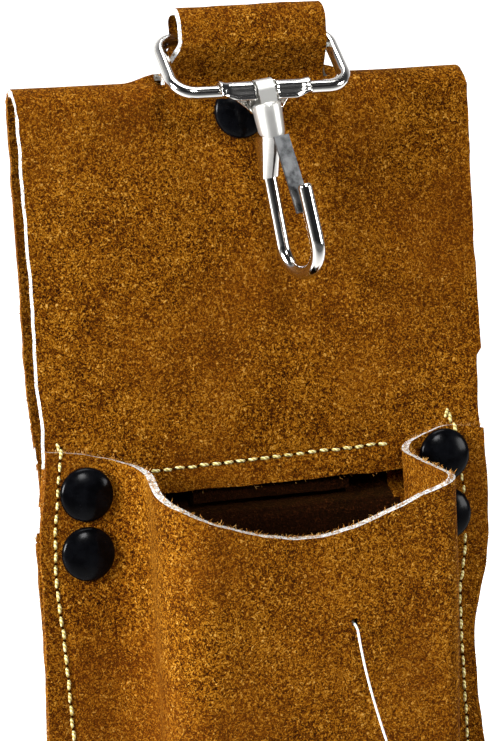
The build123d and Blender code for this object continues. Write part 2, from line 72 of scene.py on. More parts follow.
LEATHER = 1.6                              # thickness of the suede
STRAP_THICK = 1.4
FACE_Y = BACK_LOW.y                        # front face of the front layer
REAR_Y = BACK_HIGH.y
CROWN_Z = BACK_HIGH.z
BOTTOM_Z = BACK_LOW.z
HALF_WIDTH = BACK_HIGH.x
SEAM_Z = (SEAM_LOW.z + SEAM_HIGH.z) / 2
POCKET_DEPTH = FACE_Y - FRONT_LOW.y
BOTTOM_CORNER = 30.0                       # radius of the two lower corners
FOLD_BACK = 30.0                           # half of the pocket's width at the wearer's side
FOLD_FRONT = 34.0                          # and at its front
FLANGE_MID_Y = FACE_Y - LEATHER / 2
FLANGE_FACE_Y = FACE_Y - LEATHER
TAILS = 2.9                                # both tails of the strap, which the tunnel seam goes through
SEAM_BACK_Y = FACE_Y + LEATHER + TAILS + LEATHER / 2
FORWARD, REARWARD = Vector((0, -1, 0)), Vector((0, 1, 0))


# ---- small helpers ----------------------------------------------------------
def middle_of(node: str, axis: int) -> float:
    """Middle of a CAD node's box along one axis, in millimetres."""
    return sum(corner[axis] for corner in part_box(node)) / 2 / MM


def smooth(low: float, high: float, value: float) -> float:
    """Rise from 0 to 1 between low and high, flat at both ends.

    Args:
        low: Value at which the rise starts.
        high: Value at which it ends.
        value: The value to place on it.

    Returns:
        A number from 0 to 1.
    """
    share = min(max((value - low) / (high - low), 0.0), 1.0)
    return share * share * (3 - 2 * share)


def mix(first: float, second: float, share: float) -> float:
    """Blend two numbers: first at share 0, second at share 1."""
    return first + (second - first) * share


def bump(centre: float, width: float, value: float) -> float:
    """A bell of height 1 at centre that has died away at about twice width."""
    return math.exp(-(((value - centre) / width) ** 2))


def ripple(x: float, y: float, size: float, seed: float) -> float:
    """Smooth unevenness from -1 to 1.

    Args:
        x: First coordinate in millimetres.
        y: Second coordinate in millimetres.
        size: Width of one swell in millimetres.
        seed: Picks one pattern out of many.

    Returns:
        The height of the unevenness.
    """
    return noise.noise(Vector((x / size, y / size, seed)))


def deselect() -> None:
    """Leave nothing selected, so that the next operator acts on its own object."""
    bpy.ops.object.select_all(action="DESELECT")


def choose(piece: Piece) -> None:
    """Select one object alone and make it active."""
    deselect()
    piece.select_set(True)
    bpy.context.view_layer.objects.active = piece


def modify(piece: Piece, kind: str, **settings: object) -> None:
    """Add a modifier with these settings and apply it at once.

    Args:
        piece: The mesh object.
        kind: The modifier's type, such as SOLIDIFY.
        **settings: The modifier's own properties.
    """
    choose(piece)
    modifier = piece.modifiers.new(kind.title(), kind)
    for name, value in settings.items():
        setattr(modifier, name, value)
    bpy.ops.object.modifier_apply(modifier=modifier.name)


def smooth_shade(piece: Piece, degrees: float = 40.0) -> None:
    """Shade smooth, with edges sharper than this angle left crisp."""
    choose(piece)
    bpy.ops.object.shade_smooth_by_angle(angle=math.radians(degrees))


def name_piece(piece: Piece, name: str, *finishes: Material) -> Piece:
    """Name a piece and its mesh, and give it its materials in order.

    Args:
        piece: The new object.
        name: A maker's plain name.
        *finishes: Materials, one for each slot.

    Returns:
        The same object.
    """
    piece.name = name
    piece.data.name = name
    piece.data.materials.clear()
    for finish in finishes:
        piece.data.materials.append(finish)
    return piece


def settle(piece: Piece) -> None:
    """Move a piece's place into its mesh, so that its object lies at the origin."""
    choose(piece)
    bpy.ops.object.transform_apply(location=True, rotation=True, scale=True)


# ---- materials --------------------------------------------------------------
def srgb(code: str) -> tuple[float, float, float, float]:
    """Turn an sRGB hex value into a linear colour.

    Args:
        code: Six hex digits, such as "7a4812".

    Returns:
        Red, green, blue and alpha.
    """
    parts = [int(code[i : i + 2], 16) / 255 for i in (0, 2, 4)]
    linear = [c / 12.92 if c <= 0.04045 else ((c + 0.055) / 1.055) ** 2.4 for c in parts]
    return (linear[0], linear[1], linear[2], 1.0)


def add_node(tree: Tree, kind: str, inputs: dict | None = None, **settings: object) -> bpy.types.Node:
    """Add one shader node with its settings and its links.

    Args:
        tree: The material's node tree.
        kind: The node's type name.
        inputs: Input name or number to a value, or to an output socket to link from.
        **settings: The node's own properties.

    Returns:
        The new node.
    """
    node = tree.nodes.new(kind)
    for name, value in settings.items():
        setattr(node, name, value)
    for key, value in (inputs or {}).items():
        if isinstance(value, Socket):
            tree.links.new(value, node.inputs[key])
        else:
            node.inputs[key].default_value = value
    return node


def ramp(tree: Tree, factor: Socket, stops: Sequence[tuple[float, str]]) -> Socket:
    """Colour a factor by a row of sRGB stops.

    Args:
        tree: The material's node tree.
        factor: The socket that drives the ramp.
        stops: Position and sRGB hex of each stop, in order.

    Returns:
        The colour socket.
    """
    node = add_node(tree, "ShaderNodeValToRGB", {"Fac": factor})
    elements = node.color_ramp.elements
    while len(elements) < len(stops):
        elements.new(0.5)
    for element, (position, code) in zip(elements, stops):
        element.position = position
        element.color = srgb(code)
    return node.outputs["Color"]


def blend(tree: Tree, first: Socket, second: Socket, share: float) -> Socket:
    """Mix two factors: all first at share 0, all second at share 1."""
    return add_node(tree, "ShaderNodeMix", {0: share, 2: first, 3: second}, data_type="FLOAT").outputs[0]


def spread(
    tree: Tree, factor: Socket, from_low: float, from_high: float, low: float, high: float
) -> Socket:
    """Stretch the part of a factor between two values to lie between two others."""
    limits = {0: factor, 1: from_low, 2: from_high, 3: low, 4: high}
    return add_node(tree, "ShaderNodeMapRange", limits).outputs[0]


def new_shader(name: str) -> tuple[Tree, Shader]:
    """Make an empty material: its tree, and the inputs of its principled shader."""
    material = bpy.data.materials.new(name)
    material.use_nodes = True
    tree = material.node_tree
    return tree, next(node for node in tree.nodes if node.type == "BSDF_PRINCIPLED").inputs


@dataclass(frozen=True)
class Finish:
    """What every material shares: a name, a roughness and a metallic value."""

    name: str
    roughness: float = 0.5
    metallic: float = 0.0

    def build(self) -> Material:
        """Make the material, with object coordinates in metres to place its grain."""
        tree, shader = new_shader(self.name)
        shader["Roughness"].default_value = self.roughness
        shader["Metallic"].default_value = self.metallic
        self.fill(tree, shader, add_node(tree, "ShaderNodeTexCoord").outputs["Object"])
        return bpy.data.materials[self.name]

    def fill(self, tree: Tree, shader: Shader, place: Socket) -> None:
        """Each finish links its own colours and relief to the shader's inputs here."""
        raise NotImplementedError

    def grain(
        self, tree: Tree, place: Socket, size: float, detail: float = 2.0, rough: float = 0.5,
        warp: float = 0.0, **settings: object,
    ) -> Socket:
        """Noise whose features are size millimetres wide.

        Args:
            tree: The material's node tree.
            place: Coordinates in metres.
            size: Feature width in millimetres.
            detail: Octaves of finer detail.
            rough: How strong the finer octaves are.
            warp: How far the noise is pulled about by itself.
            **settings: The noise node's own properties.

        Returns:
            The factor socket.
        """
        inputs = {
            "Vector": place, "Scale": 1 / (size * MM), "Detail": detail, "Roughness": rough,
            "Distortion": warp
        }
        return add_node(tree, "ShaderNodeTexNoise", inputs, **settings).outputs["Fac"]

    def relief(
        self, tree: Tree, height: Socket, depth: float, strength: float = 1.0, onto: Socket | None = None
    ) -> Socket:
        """Bump from a height, depth millimetres deep.

        Args:
            tree: The material's node tree.
            height: The height factor.
            depth: Depth in millimetres.
            strength: Share of the bump that is used.
            onto: A normal to add it to.

        Returns:
            The normal socket.
        """
        inputs = {"Height": height, "Distance": depth * MM, "Strength": strength}
        if onto is not None:
            inputs["Normal"] = onto
        return add_node(tree, "ShaderNodeBump", inputs).outputs["Normal"]


@dataclass(frozen=True)
class NappedSuede(Finish):
    """Split cowhide, chrome tanned and brushed: a raised nap that scatters light and shows every stroke."""

    name: str = "napped_suede"
    roughness: float = 0.95
    pit: str = "1c0800"
    dark: str = "4f2402"
    middle: str = "85510a"
    light: str = "a56f1b"
    tip: str = "ce9c4e"
    warm: str = "6a3606"                   # where the dye took more deeply
    nap: float = 0.5                       # width of one tuft, drawn as coarse as it needs to show
    curl: float = 0.95                     # width of one curl of longer fibres
    tuft: float = 1.3
    stroke: float = 9.0                    # patches where the nap lies another way
    cloud: float = 30.0                    # uneven uptake of dye across the hide

    def fill(self, tree: Tree, shader: Shader, place: Socket) -> None:
        """Make the suede."""
        fibres = self.grain(tree, place, self.nap, 2.0, 0.62, 1.1)
        ridges = self.grain(tree, place, self.curl, 1.0, 0.6, 1.6, noise_type="RIDGED_MULTIFRACTAL")
        curls = spread(tree, ridges, 0.0, 0.45, 0.2, 0.85)
        tufts = self.grain(tree, place, self.tuft, 3.0, 0.6)
        patches = self.grain(tree, place, self.stroke, 3.0, 0.5)
        clouds = self.grain(tree, place, self.cloud, 2.0, 0.45)
        hairs = blend(tree, fibres, curls, 0.3)
        tone = blend(tree, blend(tree, hairs, tufts, 0.12), patches, 0.11)
        codes = (self.pit, self.dark, self.middle, self.light, self.tip)
        nap = ramp(tree, tone, list(zip((0.355, 0.425, 0.485, 0.55, 0.66), codes)))
        deep = spread(tree, clouds, 0.42, 0.66, 0.0, 0.35)
        stain = {0: deep, 6: nap, 7: srgb(self.warm)}
        stained = add_node(tree, "ShaderNodeMix", stain, data_type="RGBA").outputs[2]
        tree.links.new(stained, shader["Base Color"])
        dents = self.relief(tree, patches, 1.0, 0.3)
        tufted = self.relief(tree, tufts, 0.6, 0.7, dents)
        tree.links.new(self.relief(tree, hairs, 0.8, 1.0, tufted), shader["Normal"])
        shader["Specular IOR Level"].default_value = 0.03
        shader["Sheen Weight"].default_value = 0.05
        shader["Sheen Roughness"].default_value = 0.5
        shader["Sheen Tint"].default_value = srgb("d09030")


@dataclass(frozen=True)
class LooseFibre(Finish):
    """Single collagen fibres pulled up by the brush and the knife: golden where dyed, paler at the tips."""

    name: str = "loose_hide_fibre"
    roughness: float = 0.8
    root: str = "7a4a12"
    base: str = "a8742c"
    light: str = "d8b070"

    def fill(self, tree: Tree, shader: Shader, place: Socket) -> None:
        """Make the fibres' material."""
        colours = self.grain(tree, place, 1.4, 2.0, 0.6)
        stops = [(0.38, self.root), (0.52, self.base), (0.68, self.light)]
        tree.links.new(ramp(tree, colours, stops), shader["Base Color"])
        tree.links.new(self.relief(tree, self.grain(tree, place, 0.15), 0.03, 0.4), shader["Normal"])
        shader["Specular IOR Level"].default_value = 0.2


@dataclass(frozen=True)
class CutEdge(Finish):
    """The undyed middle of the hide, laid bare by the cutting knife: pale, fibrous and matt."""

    name: str = "pale_cut_edge"
    roughness: float = 0.9
    pore: str = "6f5a3c"
    shade: str = "9b958b"
    base: str = "bfc0bd"
    light: str = "dfe2e4"

    def fill(self, tree: Tree, shader: Shader, place: Socket) -> None:
        """Make the cut edge."""
        fibres = self.grain(tree, place, 0.6, 3.0, 0.6)
        stops = [(0.34, self.pore), (0.42, self.shade), (0.52, self.base), (0.68, self.light)]
        tree.links.new(ramp(tree, fibres, stops), shader["Base Color"])
        tree.links.new(self.relief(tree, fibres, 0.3, 0.7), shader["Normal"])
        shader["Specular IOR Level"].default_value = 0.1


@dataclass(frozen=True)
class BondedThread(Finish):
    """Three-ply bonded polyester, waxed: pale yellow, with the plies' twist showing as slanting grooves."""

    name: str = "bonded_thread"
    roughness: float = 0.6
    shade: str = "7c6a24"
    base: str = "c4b05a"
    light: str = "ebe0a4"
    ply: float = 0.55                      # spacing of the twist's grooves

    def fill(self, tree: Tree, shader: Shader, place: Socket) -> None:
        """Make the thread."""
        settings = {"Vector": place, "Scale": 1 / (self.ply * MM) / 3, "Distortion": 0.6, "Detail": 1.0}
        twist = add_node(tree, "ShaderNodeTexWave", settings, bands_direction="DIAGONAL").outputs["Fac"]
        wear = self.grain(tree, place, 3.0, 3.0)
        stops = [(0.15, self.shade), (0.45, self.base), (0.75, self.light)]
        tree.links.new(ramp(tree, blend(tree, twist, wear, 0.5), stops), shader["Base Color"])
        tree.links.new(self.relief(tree, twist, 0.12, 0.8), shader["Normal"])
        shader["Sheen Weight"].default_value = 0.2


@dataclass(frozen=True)
class BlackEnamel(Finish):
    """Stoved black enamel on a pressed steel cap: deep, glossy, with the faintest orange peel."""

    name: str = "stoved_black_enamel"
    roughness: float = 0.16
    base: str = "030304"
    worn: str = "0b0c0f"

    def fill(self, tree: Tree, shader: Shader, place: Socket) -> None:
        """Make the enamel."""
        smudge = self.grain(tree, place, 4.0, 4.0, 0.6)
        tree.links.new(ramp(tree, smudge, [(0.4, self.base), (0.75, self.worn)]), shader["Base Color"])
        tree.links.new(spread(tree, smudge, 0.0, 1.0, 0.1, 0.26), shader["Roughness"])
        tree.links.new(self.relief(tree, self.grain(tree, place, 1.2, 1.0), 0.02, 0.5), shader["Normal"])
        shader["Specular IOR Level"].default_value = 0.07


class Plate(Enum):
    """How a surface was left: spread of its roughness, then width and depth of its grain in millimetres."""

    BRIGHT = (0.03, 1.6, 0.01)
    SATIN = (0.08, 0.3, 0.02)
    ROLLED = (0.12, 0.45, 0.05)
    DULL = (0.15, 0.6, 0.06)


@dataclass(frozen=True)
class PlatedSteel(Finish):
    """Steel, plated or rolled: bright nickel mirrors the room, satin spreads it, strip shows its grain."""

    plate: Plate = Plate.BRIGHT
    metallic: float = 1.0
    base: str = "a8a49a"
    shade: str = "77736a"

    def fill(self, tree: Tree, shader: Shader, place: Socket) -> None:
        """Make the metal."""
        handling = self.grain(tree, place, 2.5, 4.0, 0.6)
        tree.links.new(ramp(tree, handling, [(0.3, self.shade), (0.62, self.base)]), shader["Base Color"])
        wear, size, depth = self.plate.value
        rough = spread(tree, handling, 0.0, 1.0, self.roughness, self.roughness + wear)
        tree.links.new(rough, shader["Roughness"])
        grain = self.grain(tree, place, size, 3.0, 0.6)
        tree.links.new(self.relief(tree, grain, depth, 0.6), shader["Normal"])


@dataclass(frozen=True)
class TagNylon(Finish):
    """Drawn natural nylon: milky white, letting a little light through."""

    name: str = "natural_nylon"
    roughness: float = 0.35
    base: str = "f2f2ee"
    shade: str = "d4d4ce"

    def fill(self, tree: Tree, shader: Shader, place: Socket) -> None:
        """Make the nylon."""
        milk = self.grain(tree, place, 3.0, 2.0)
        tree.links.new(ramp(tree, milk, [(0.3, self.shade), (0.6, self.base)]), shader["Base Color"])
        tree.links.new(self.relief(tree, milk, 0.03, 0.4), shader["Normal"])
        shader["Subsurface Weight"].default_value = 0.15
        shader["Subsurface Scale"].default_value = 0.5 * MM


@dataclass(frozen=True)
class PaintedHoleShade(Finish):
    """Painted shade for the inside of a needle or punch hole in suede: near black, where the hole's depth
    lies in shadow.
    """

    name: str = "painted_hole_shade"
    roughness: float = 1.0
    base: str = "160a02"
    rim: str = "2e1706"

    def fill(self, tree: Tree, shader: Shader, place: Socket) -> None:
        """Make the hole's dark lining."""
        fluff = self.grain(tree, place, 0.3, 2.0)
        tree.links.new(ramp(tree, fluff, [(0.4, self.base), (0.7, self.rim)]), shader["Base Color"])
        shader["Specular IOR Level"].default_value = 0.0


def built(finish: Finish) -> Material:
    """A field whose material is made from this finish when the set of finishes is."""
    return field(default_factory=finish.build)


@dataclass
class Finishes:
    """Every material of the pouch, built once."""

    suede: Material = built(NappedSuede())
    # painted shade: the same suede in near-black colours, laid where the pocket's inside and the hidden
    # strap tails lie in shadow
    inner: Material = built(
        NappedSuede(
            "painted_shade_interior", 0.95, 0.0, "0a0200", "140600", "1f0a02", "2c1204", "44220c", "180700"
        )
    )
    fibre: Material = built(LooseFibre())
    edge: Material = built(CutEdge())
    thread: Material = built(BondedThread())
    enamel: Material = built(BlackEnamel())
    bright: Material = built(PlatedSteel("bright_nickel", 0.035))
    satin: Material = built(PlatedSteel("satin_nickel", 0.24, 1.0, Plate.SATIN, "8a857b", "69645a"))
    rolled: Material = built(
        PlatedSteel("rolled_spring_steel", 0.36, 1.0, Plate.ROLLED, "6c6d6e", "2c2d2e")
    )
    dull: Material = built(PlatedSteel("dull_set_steel", 0.42, 1.0, Plate.DULL, "a8a49c", "7d7a73"))
    nylon: Material = built(TagNylon())
    hole: Material = built(PaintedHoleShade())


# ---- sheets of leather -------------------------------------------------------
def along(knots: Pairs, value: float) -> float:
    """Read a smooth curve through knots, with no corner at any of them.

    Args:
        knots: Position and height of each knot, positions rising.
        value: Where to read it.

    Returns:
        The height there.
    """
    value = min(max(value, knots[0][0]), knots[-1][0])
    index = max(i for i, knot in enumerate(knots[:-1]) if knot[0] <= value)
    (x0, y0), (x1, y1) = knots[index], knots[index + 1]
    before = knots[index - 1] if index else (2 * x0 - x1, 2 * y0 - y1)
    after = knots[index + 2] if index + 2 < len(knots) else (2 * x1 - x0, 2 * y1 - y0)
    span = x1 - x0
    slope0 = (y1 - before[1]) / (x1 - before[0]) * span
    slope1 = (after[1] - y0) / (after[0] - x0) * span
    t = (value - x0) / span
    return (
        (2 * t**3 - 3 * t**2 + 1) * y0
        + (t**3 - 2 * t**2 + t) * slope0
        + (3 * t**2 - 2 * t**3) * y1
        + (t**3 - t**2) * slope1
    )


def bent_line(
    corners: Pairs, radii: Sequence[float], arc_steps: int, run_steps: Sequence[int]
) -> list[Vector]:
    """Points of a line with rounded corners, as many however the corners move.

    Args:
        corners: The ends and the corners, in order.
        radii: Bend radius at each corner between the ends.
        arc_steps: Divisions of each bend.
        run_steps: Divisions of each straight run.

    Returns:
        The points in order.
    """
    spots = [Vector(corner) for corner in corners]
    points = [spots[0]]
    for index, (before, corner, after) in enumerate(zip(spots, spots[1:], spots[2:])):
        came, goes = (corner - before).normalized(), (after - corner).normalized()
        turn = math.atan2(came.x * goes.y - came.y * goes.x, came.dot(goes))
        room = 0.48 * min((corner - before).length, (after - corner).length)
        reach = min(radii[index] * math.tan(abs(turn) / 2), room)
        radius = reach / max(math.tan(abs(turn) / 2), 1e-6)
        start = corner - came * reach
        run_from = points[-1]
        points += [run_from.lerp(start, k / run_steps[index]) for k in range(1, run_steps[index] + 1)]
        way = math.copysign(1.0, turn)
        centre = start + Vector((-came.y, came.x)) * way * radius
        for k in range(1, arc_steps + 1):
            angle = turn * k / arc_steps
            arm = start - centre
            across = arm.x * math.cos(angle) - arm.y * math.sin(angle)
            points.append(centre + Vector((across, arm.x * math.sin(angle) + arm.y * math.cos(angle))))
    run_from = points[-1]
    points += [run_from.lerp(spots[-1], k / run_steps[-1]) for k in range(1, run_steps[-1] + 1)]
    return points


def distances(line: Sequence[Vector]) -> list[float]:
    """How far each point of a line lies along it from its start."""
    reach = [0.0]
    for first, second in zip(line, line[1:]):
        reach.append(reach[-1] + (second - first).length)
    return reach


def normals_along(points: Sequence[Vector]) -> list[Vector]:
    """The left-hand normal at each point of a plane line."""
    found = []
    for index in range(len(points)):
        ahead = points[min(index + 1, len(points) - 1)] - points[max(index - 1, 0)]
        ahead.normalize()
        found.append(Vector((-ahead.y, ahead.x)))
    return found


def lay_grid(
    columns: int,
    rows: int,
    place: Callable[[int, int], Vector],
    trim: Callable[[int, int], Vector] | None = None,
) -> Piece:
    """Add a grid and lay each of its points where the sheet goes.

    Args:
        columns: Faces across.
        rows: Faces along.
        place: Gives a point in millimetres for a column and row number.
        trim: How far the outer face stands back there, in millimetres, once the sheet is thick.

    Returns:
        The grid's object, at the origin.
    """
    deselect()
    bpy.ops.mesh.primitive_grid_add(
        x_subdivisions=columns, y_subdivisions=rows, size=1.0, location=(0, 0, 0)
    )
    piece = bpy.context.active_object
    trims = piece.data.attributes.new("trim", "FLOAT_VECTOR", "POINT")
    for vertex in piece.data.vertices:
        column = round((vertex.co.x + 0.5) * columns)
        row = round((vertex.co.y + 0.5) * rows)
        vertex.co = place(column, row) * MM
        if trim:
            trims.data[vertex.index].vector = trim(column, row) * MM
    return piece


def drop_faces(piece: Piece, unwanted: Callable[[Vector], bool]) -> None:
    """Delete the faces whose middle, in millimetres, is unwanted."""
    choose(piece)
    bpy.ops.object.mode_set(mode="EDIT")
    shape = bmesh.from_edit_mesh(piece.data)
    for face in shape.faces:
        face.select_set(unwanted(face.calc_center_median() / MM))
    bmesh.update_edit_mesh(piece.data)
    if any(face.select for face in shape.faces):
        bpy.ops.mesh.delete(type="FACE")
    bpy.ops.object.mode_set(mode="OBJECT")


def thicken(
    piece: Piece, thickness: float, finish_of: Callable[[str, Vector, Vector], int]
) -> Rims:
    """Give a sheet its thickness, cut a little aslant, and choose each face's finish.

    Args:
        piece: The sheet.
        thickness: Its thickness in millimetres.
        finish_of: Gives a material slot for "outer", "inner" or "rim", a face's middle and its normal.

    Returns:
        Middle in millimetres and normal of each face of the cut edge.
    """
    outer = len(piece.data.vertices)
    faces = len(piece.data.polygons)
    modify(
        piece, "SOLIDIFY", thickness=thickness * MM, offset=0.0, use_quality_normals=True, use_rim=True
    )
    trims = piece.data.attributes["trim"]
    for vertex in list(piece.data.vertices)[:outer]:
        vertex.co += trims.data[vertex.index].vector
    piece.data.attributes.remove(trims)
    rims = []
    for face in piece.data.polygons:
        side = "outer" if face.index < faces else "inner" if face.index < 2 * faces else "rim"
        middle = face.center / MM
        face.material_index = finish_of(side, middle, face.normal)
        if side == "rim":
            rims.append((middle.copy(), face.normal.copy()))
    smooth_shade(piece, 50.0)
    return rims


def edge_sway(x: float, z: float) -> float:
    """How far the pouch's soft sides have wandered from straight at a place, in millimetres."""
    edge = along(LEFT_SWAY if x < 0 else RIGHT_SWAY, z)
    return edge * smooth(24.0, HALF_WIDTH, abs(x))


# wander of the pouch's edges and of its side seams in millimetres towards +X, by height
LEFT_SWAY = (
    (-218.0, -0.5), (-190.0, -2.4), (-150.0, -3.2), (-100.0, -3.5), (-73.0, -2.7), (-56.0, -2.5),
    (-46.0, -0.9), (-37.0, 0.2), (-20.0, 0.0), (45.0, 0.0),
)
RIGHT_SWAY = (
    (-218.0, -1.0), (-190.0, -3.4), (-150.0, -4.4), (-115.0, -5.2), (-100.0, -6.2), (-86.0, -6.0),
    (-78.0, -4.2), (-71.0, -2.2), (-58.0, -1.1), (-46.0, -0.9), (-36.0, -1.2), (45.0, -0.4),
)
LEFT_SEAM = (
    (-218.0, 0.0), (-150.0, 0.0), (-97.4, 0.0), (-80.3, -0.4), (-65.7, -1.2), (-54.6, -0.6),
    (-36.5, 1.9), (-30.0, 2.0),
)
RIGHT_SEAM = (
    (-218.0, 0.0), (-150.0, -0.6), (-100.0, -1.5), (-78.3, -1.2), (-68.0, 0.7), (-52.9, 1.1),
    (-35.3, -0.8), (-30.0, -1.0),
)


def bottom_edge(x: float) -> float:
    """Height of the pouch's lower edge, with its two round corners."""
    over = abs(x) - (HALF_WIDTH - BOTTOM_CORNER)
    if over <= 0:
        return BOTTOM_Z
    return BOTTOM_Z + BOTTOM_CORNER - math.sqrt(max(BOTTOM_CORNER**2 - min(over, BOTTOM_CORNER) ** 2, 0.0))


def half_width(z: float) -> float:
    """Half of the pouch's width at a height, narrowing in its round corners."""
    under = BOTTOM_Z + BOTTOM_CORNER - z
    if under <= 0:
        return HALF_WIDTH
    return HALF_WIDTH - BOTTOM_CORNER + math.sqrt(
        max(BOTTOM_CORNER**2 - min(under, BOTTOM_CORNER) ** 2, 0.0)
    )


def rivet_calm(x: float, z: float) -> float:
    """How free the leather is to wave: 0 under a rivet, 1 well away from all of them."""
    free = 1.0
    for spot_x, spot_z in RIVETS:
        free *= 1 - math.exp(-((x - spot_x) ** 2 + (z - spot_z) ** 2) / 90.0)
    return free


def hide_swell(x: float, z: float) -> float:
    """How far the sewn layers wave together, in millimetres towards the wearer."""
    return rivet_calm(x, z) * (0.55 * ripple(x, z, 42, 1.5) + 0.12 * ripple(x, z, 11, 4.5))


RIVETS = [                                 # across and height of each rivet of the pocket
    (middle_of(f"{side}_{level}_rivet_cap", 0), middle_of(f"{side}_{level}_rivet_cap", 2))
    for side in ("left", "right")
    for level in ("upper", "lower")
]


@dataclass
class BackPanel:
    """The one hide that makes the pouch's back, the belt tunnel and the front layer."""

    finishes: Finishes
    columns: int = 66
    front_rows: int = 52                   # up the front layer to the crown
    back_rows: int = 44                    # down the wearer's side of the tunnel
    low_rows: int = 100                    # from the tunnel seam to the foot
    arc_steps: int = 15
    slit_half: float = 20.0                # half of the strap slit's length
    slit_columns: int = 12                 # columns in that half
    lip_rise: float = 1.8                  # the wearer's side of the slit is pushed up
    front_lap: float = 6.0                 # the front layer ends this far under the seam
    rims: Rims = field(default_factory=list)

    def build(self) -> None:
        """Lay the hide over the belt, cut the slit and give it its thickness."""
        mid_front, mid_rear = FACE_Y + LEATHER / 2, REAR_Y - LEATHER / 2
        crown = CROWN_Z - LEATHER / 2
        corners = [
            (mid_front, SEAM_Z - self.front_lap),
            (mid_front, crown),
            (mid_rear, crown),
            (mid_rear, SEAM_Z + 11.5),
            (SEAM_BACK_Y, SEAM_Z + 2.4),
            (SEAM_BACK_Y, SEAM_Z - 10.0),
            (mid_front, SEAM_Z - 12.7),
            (mid_front, BOTTOM_Z),
        ]
        bend = mid_rear - 0.01
        runs = [self.front_rows, 1, self.back_rows, 5, 5, 1, self.low_rows]
        line = bent_line(corners, [bend, bend, 5, 5, 2.5, 2.5], self.arc_steps, runs)
        normals = normals_along(line)
        rows = len(line) - 1
        front_end = self.front_rows
        seam_end = rows - self.low_rows
        slit_from, slit_to = front_end + 4, front_end + self.arc_steps - 1
        shares = self.column_shares()

        def place(column: int, row: int) -> Vector:
            spot, normal = line[row], normals[row]
            share = shares[column]
            wide = half_width(spot.y) if row > seam_end - 5 else HALF_WIDTH
            x = share * wide / HALF_WIDTH
            if row > seam_end - 12 or row < 16:
                x += edge_sway(x, spot.y)
            rim = smooth(HALF_WIDTH - 4, HALF_WIDTH, abs(share))
            x += math.copysign(1, x) * rim * (
                0.3 * ripple(row * 1.7, x, 5, 2.2) + 0.5 * ripple(row * 1.7, x, 31, 8.1)
            )
            lift = 0.0
            z_shift = 0.0
            if row <= front_end:
                free = rivet_calm(x, spot.y)
                seam = bump(SEAM_Z, 1.5, spot.y) * smooth(30.5, 28.5, abs(x))
                lift = free * (
                    0.45 * ripple(x, spot.y, 34, 3.3) + 0.14 * ripple(x, spot.y, 9, 5.1)
                ) - 0.42 * seam
                lift *= smooth(crown - 2, crown - 12, spot.y)
                if row == 0:
                    z_shift = 0.35 * ripple(x, 0, 7, 6.4)
            elif spot.x < mid_front + 0.6 and spot.y < SEAM_Z - 12:
                lift = hide_swell(x, spot.y)
            else:
                lift = 0.35 * rivet_calm(x, spot.y) * ripple(x, row * 1.7, 30, 7.3)
            if row > rows - 2:
                z_shift = 0.25 * ripple(x, 3, 6, 1.1)
            point = Vector((x, spot.x + normal.x * lift, spot.y + normal.y * lift + z_shift))
            near_slit = smooth(27, 19, abs(x))
            if row >= slit_to:
                back = row - slit_to
                point.z += self.lip_rise * near_slit * smooth(16, 0, back)
            elif front_end < row <= slit_from:
                point.y -= 0.9 * near_slit * smooth(0, 4, row - front_end)
                point.z += 1.7 * near_slit * smooth(0, 4, row - front_end)
            return point

        def trim(column: int, row: int) -> Vector:
            if column == 0 and row < front_end:
                return Vector((0.3, 0, 0))
            return Vector((0, 0, 0.3 if row == 0 else 0.0))

        panel = lay_grid(self.columns, rows, place, trim)
        low = Vector(line[slit_from])
        high = Vector(line[slit_to])

        def in_slit(middle: Vector) -> bool:
            return (
                abs(middle.x) < self.slit_half
                and middle.z > low.y
                and low.x < middle.y < high.x
            )

        drop_faces(panel, in_slit)
        name_piece(
            panel, "hide_back_and_tunnel", self.finishes.suede, self.finishes.edge, self.finishes.inner
        )

        def finish_of(side: str, middle: Vector, normal: Vector) -> int:
            # painted shade: faces of the back panel inside the pocket take the near-black interior suede
            in_pocket = abs(middle.x) < FOLD_BACK and middle.z < SEAM_Z - 5.6 and normal.y < 0.3
            if in_pocket and middle.z > BOTTOM_Z + 20:
                return 2
            if side != "rim":
                return 0
            return 0 if middle.z < SEAM_Z + 3 or middle.y > 2.0 else 1

        self.rims = thicken(panel, LEATHER, finish_of)
        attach(panel, "pouch")
        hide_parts("back_panel")
        length = distances(line)[-1]
        LOG.info("back panel: %.0f mm of hide over the belt", length)

    def column_shares(self) -> list[float]:
        """Where the columns of points stand, with one on each end of the slit."""
        inner = [self.slit_half * k / self.slit_columns for k in range(self.slit_columns + 1)]
        outer_count = self.columns // 2 - self.slit_columns
        outer = [mix(self.slit_half, HALF_WIDTH, k / outer_count) for k in range(1, outer_count + 1)]
        half = inner + outer
        return [-value for value in reversed(half[1:])] + half


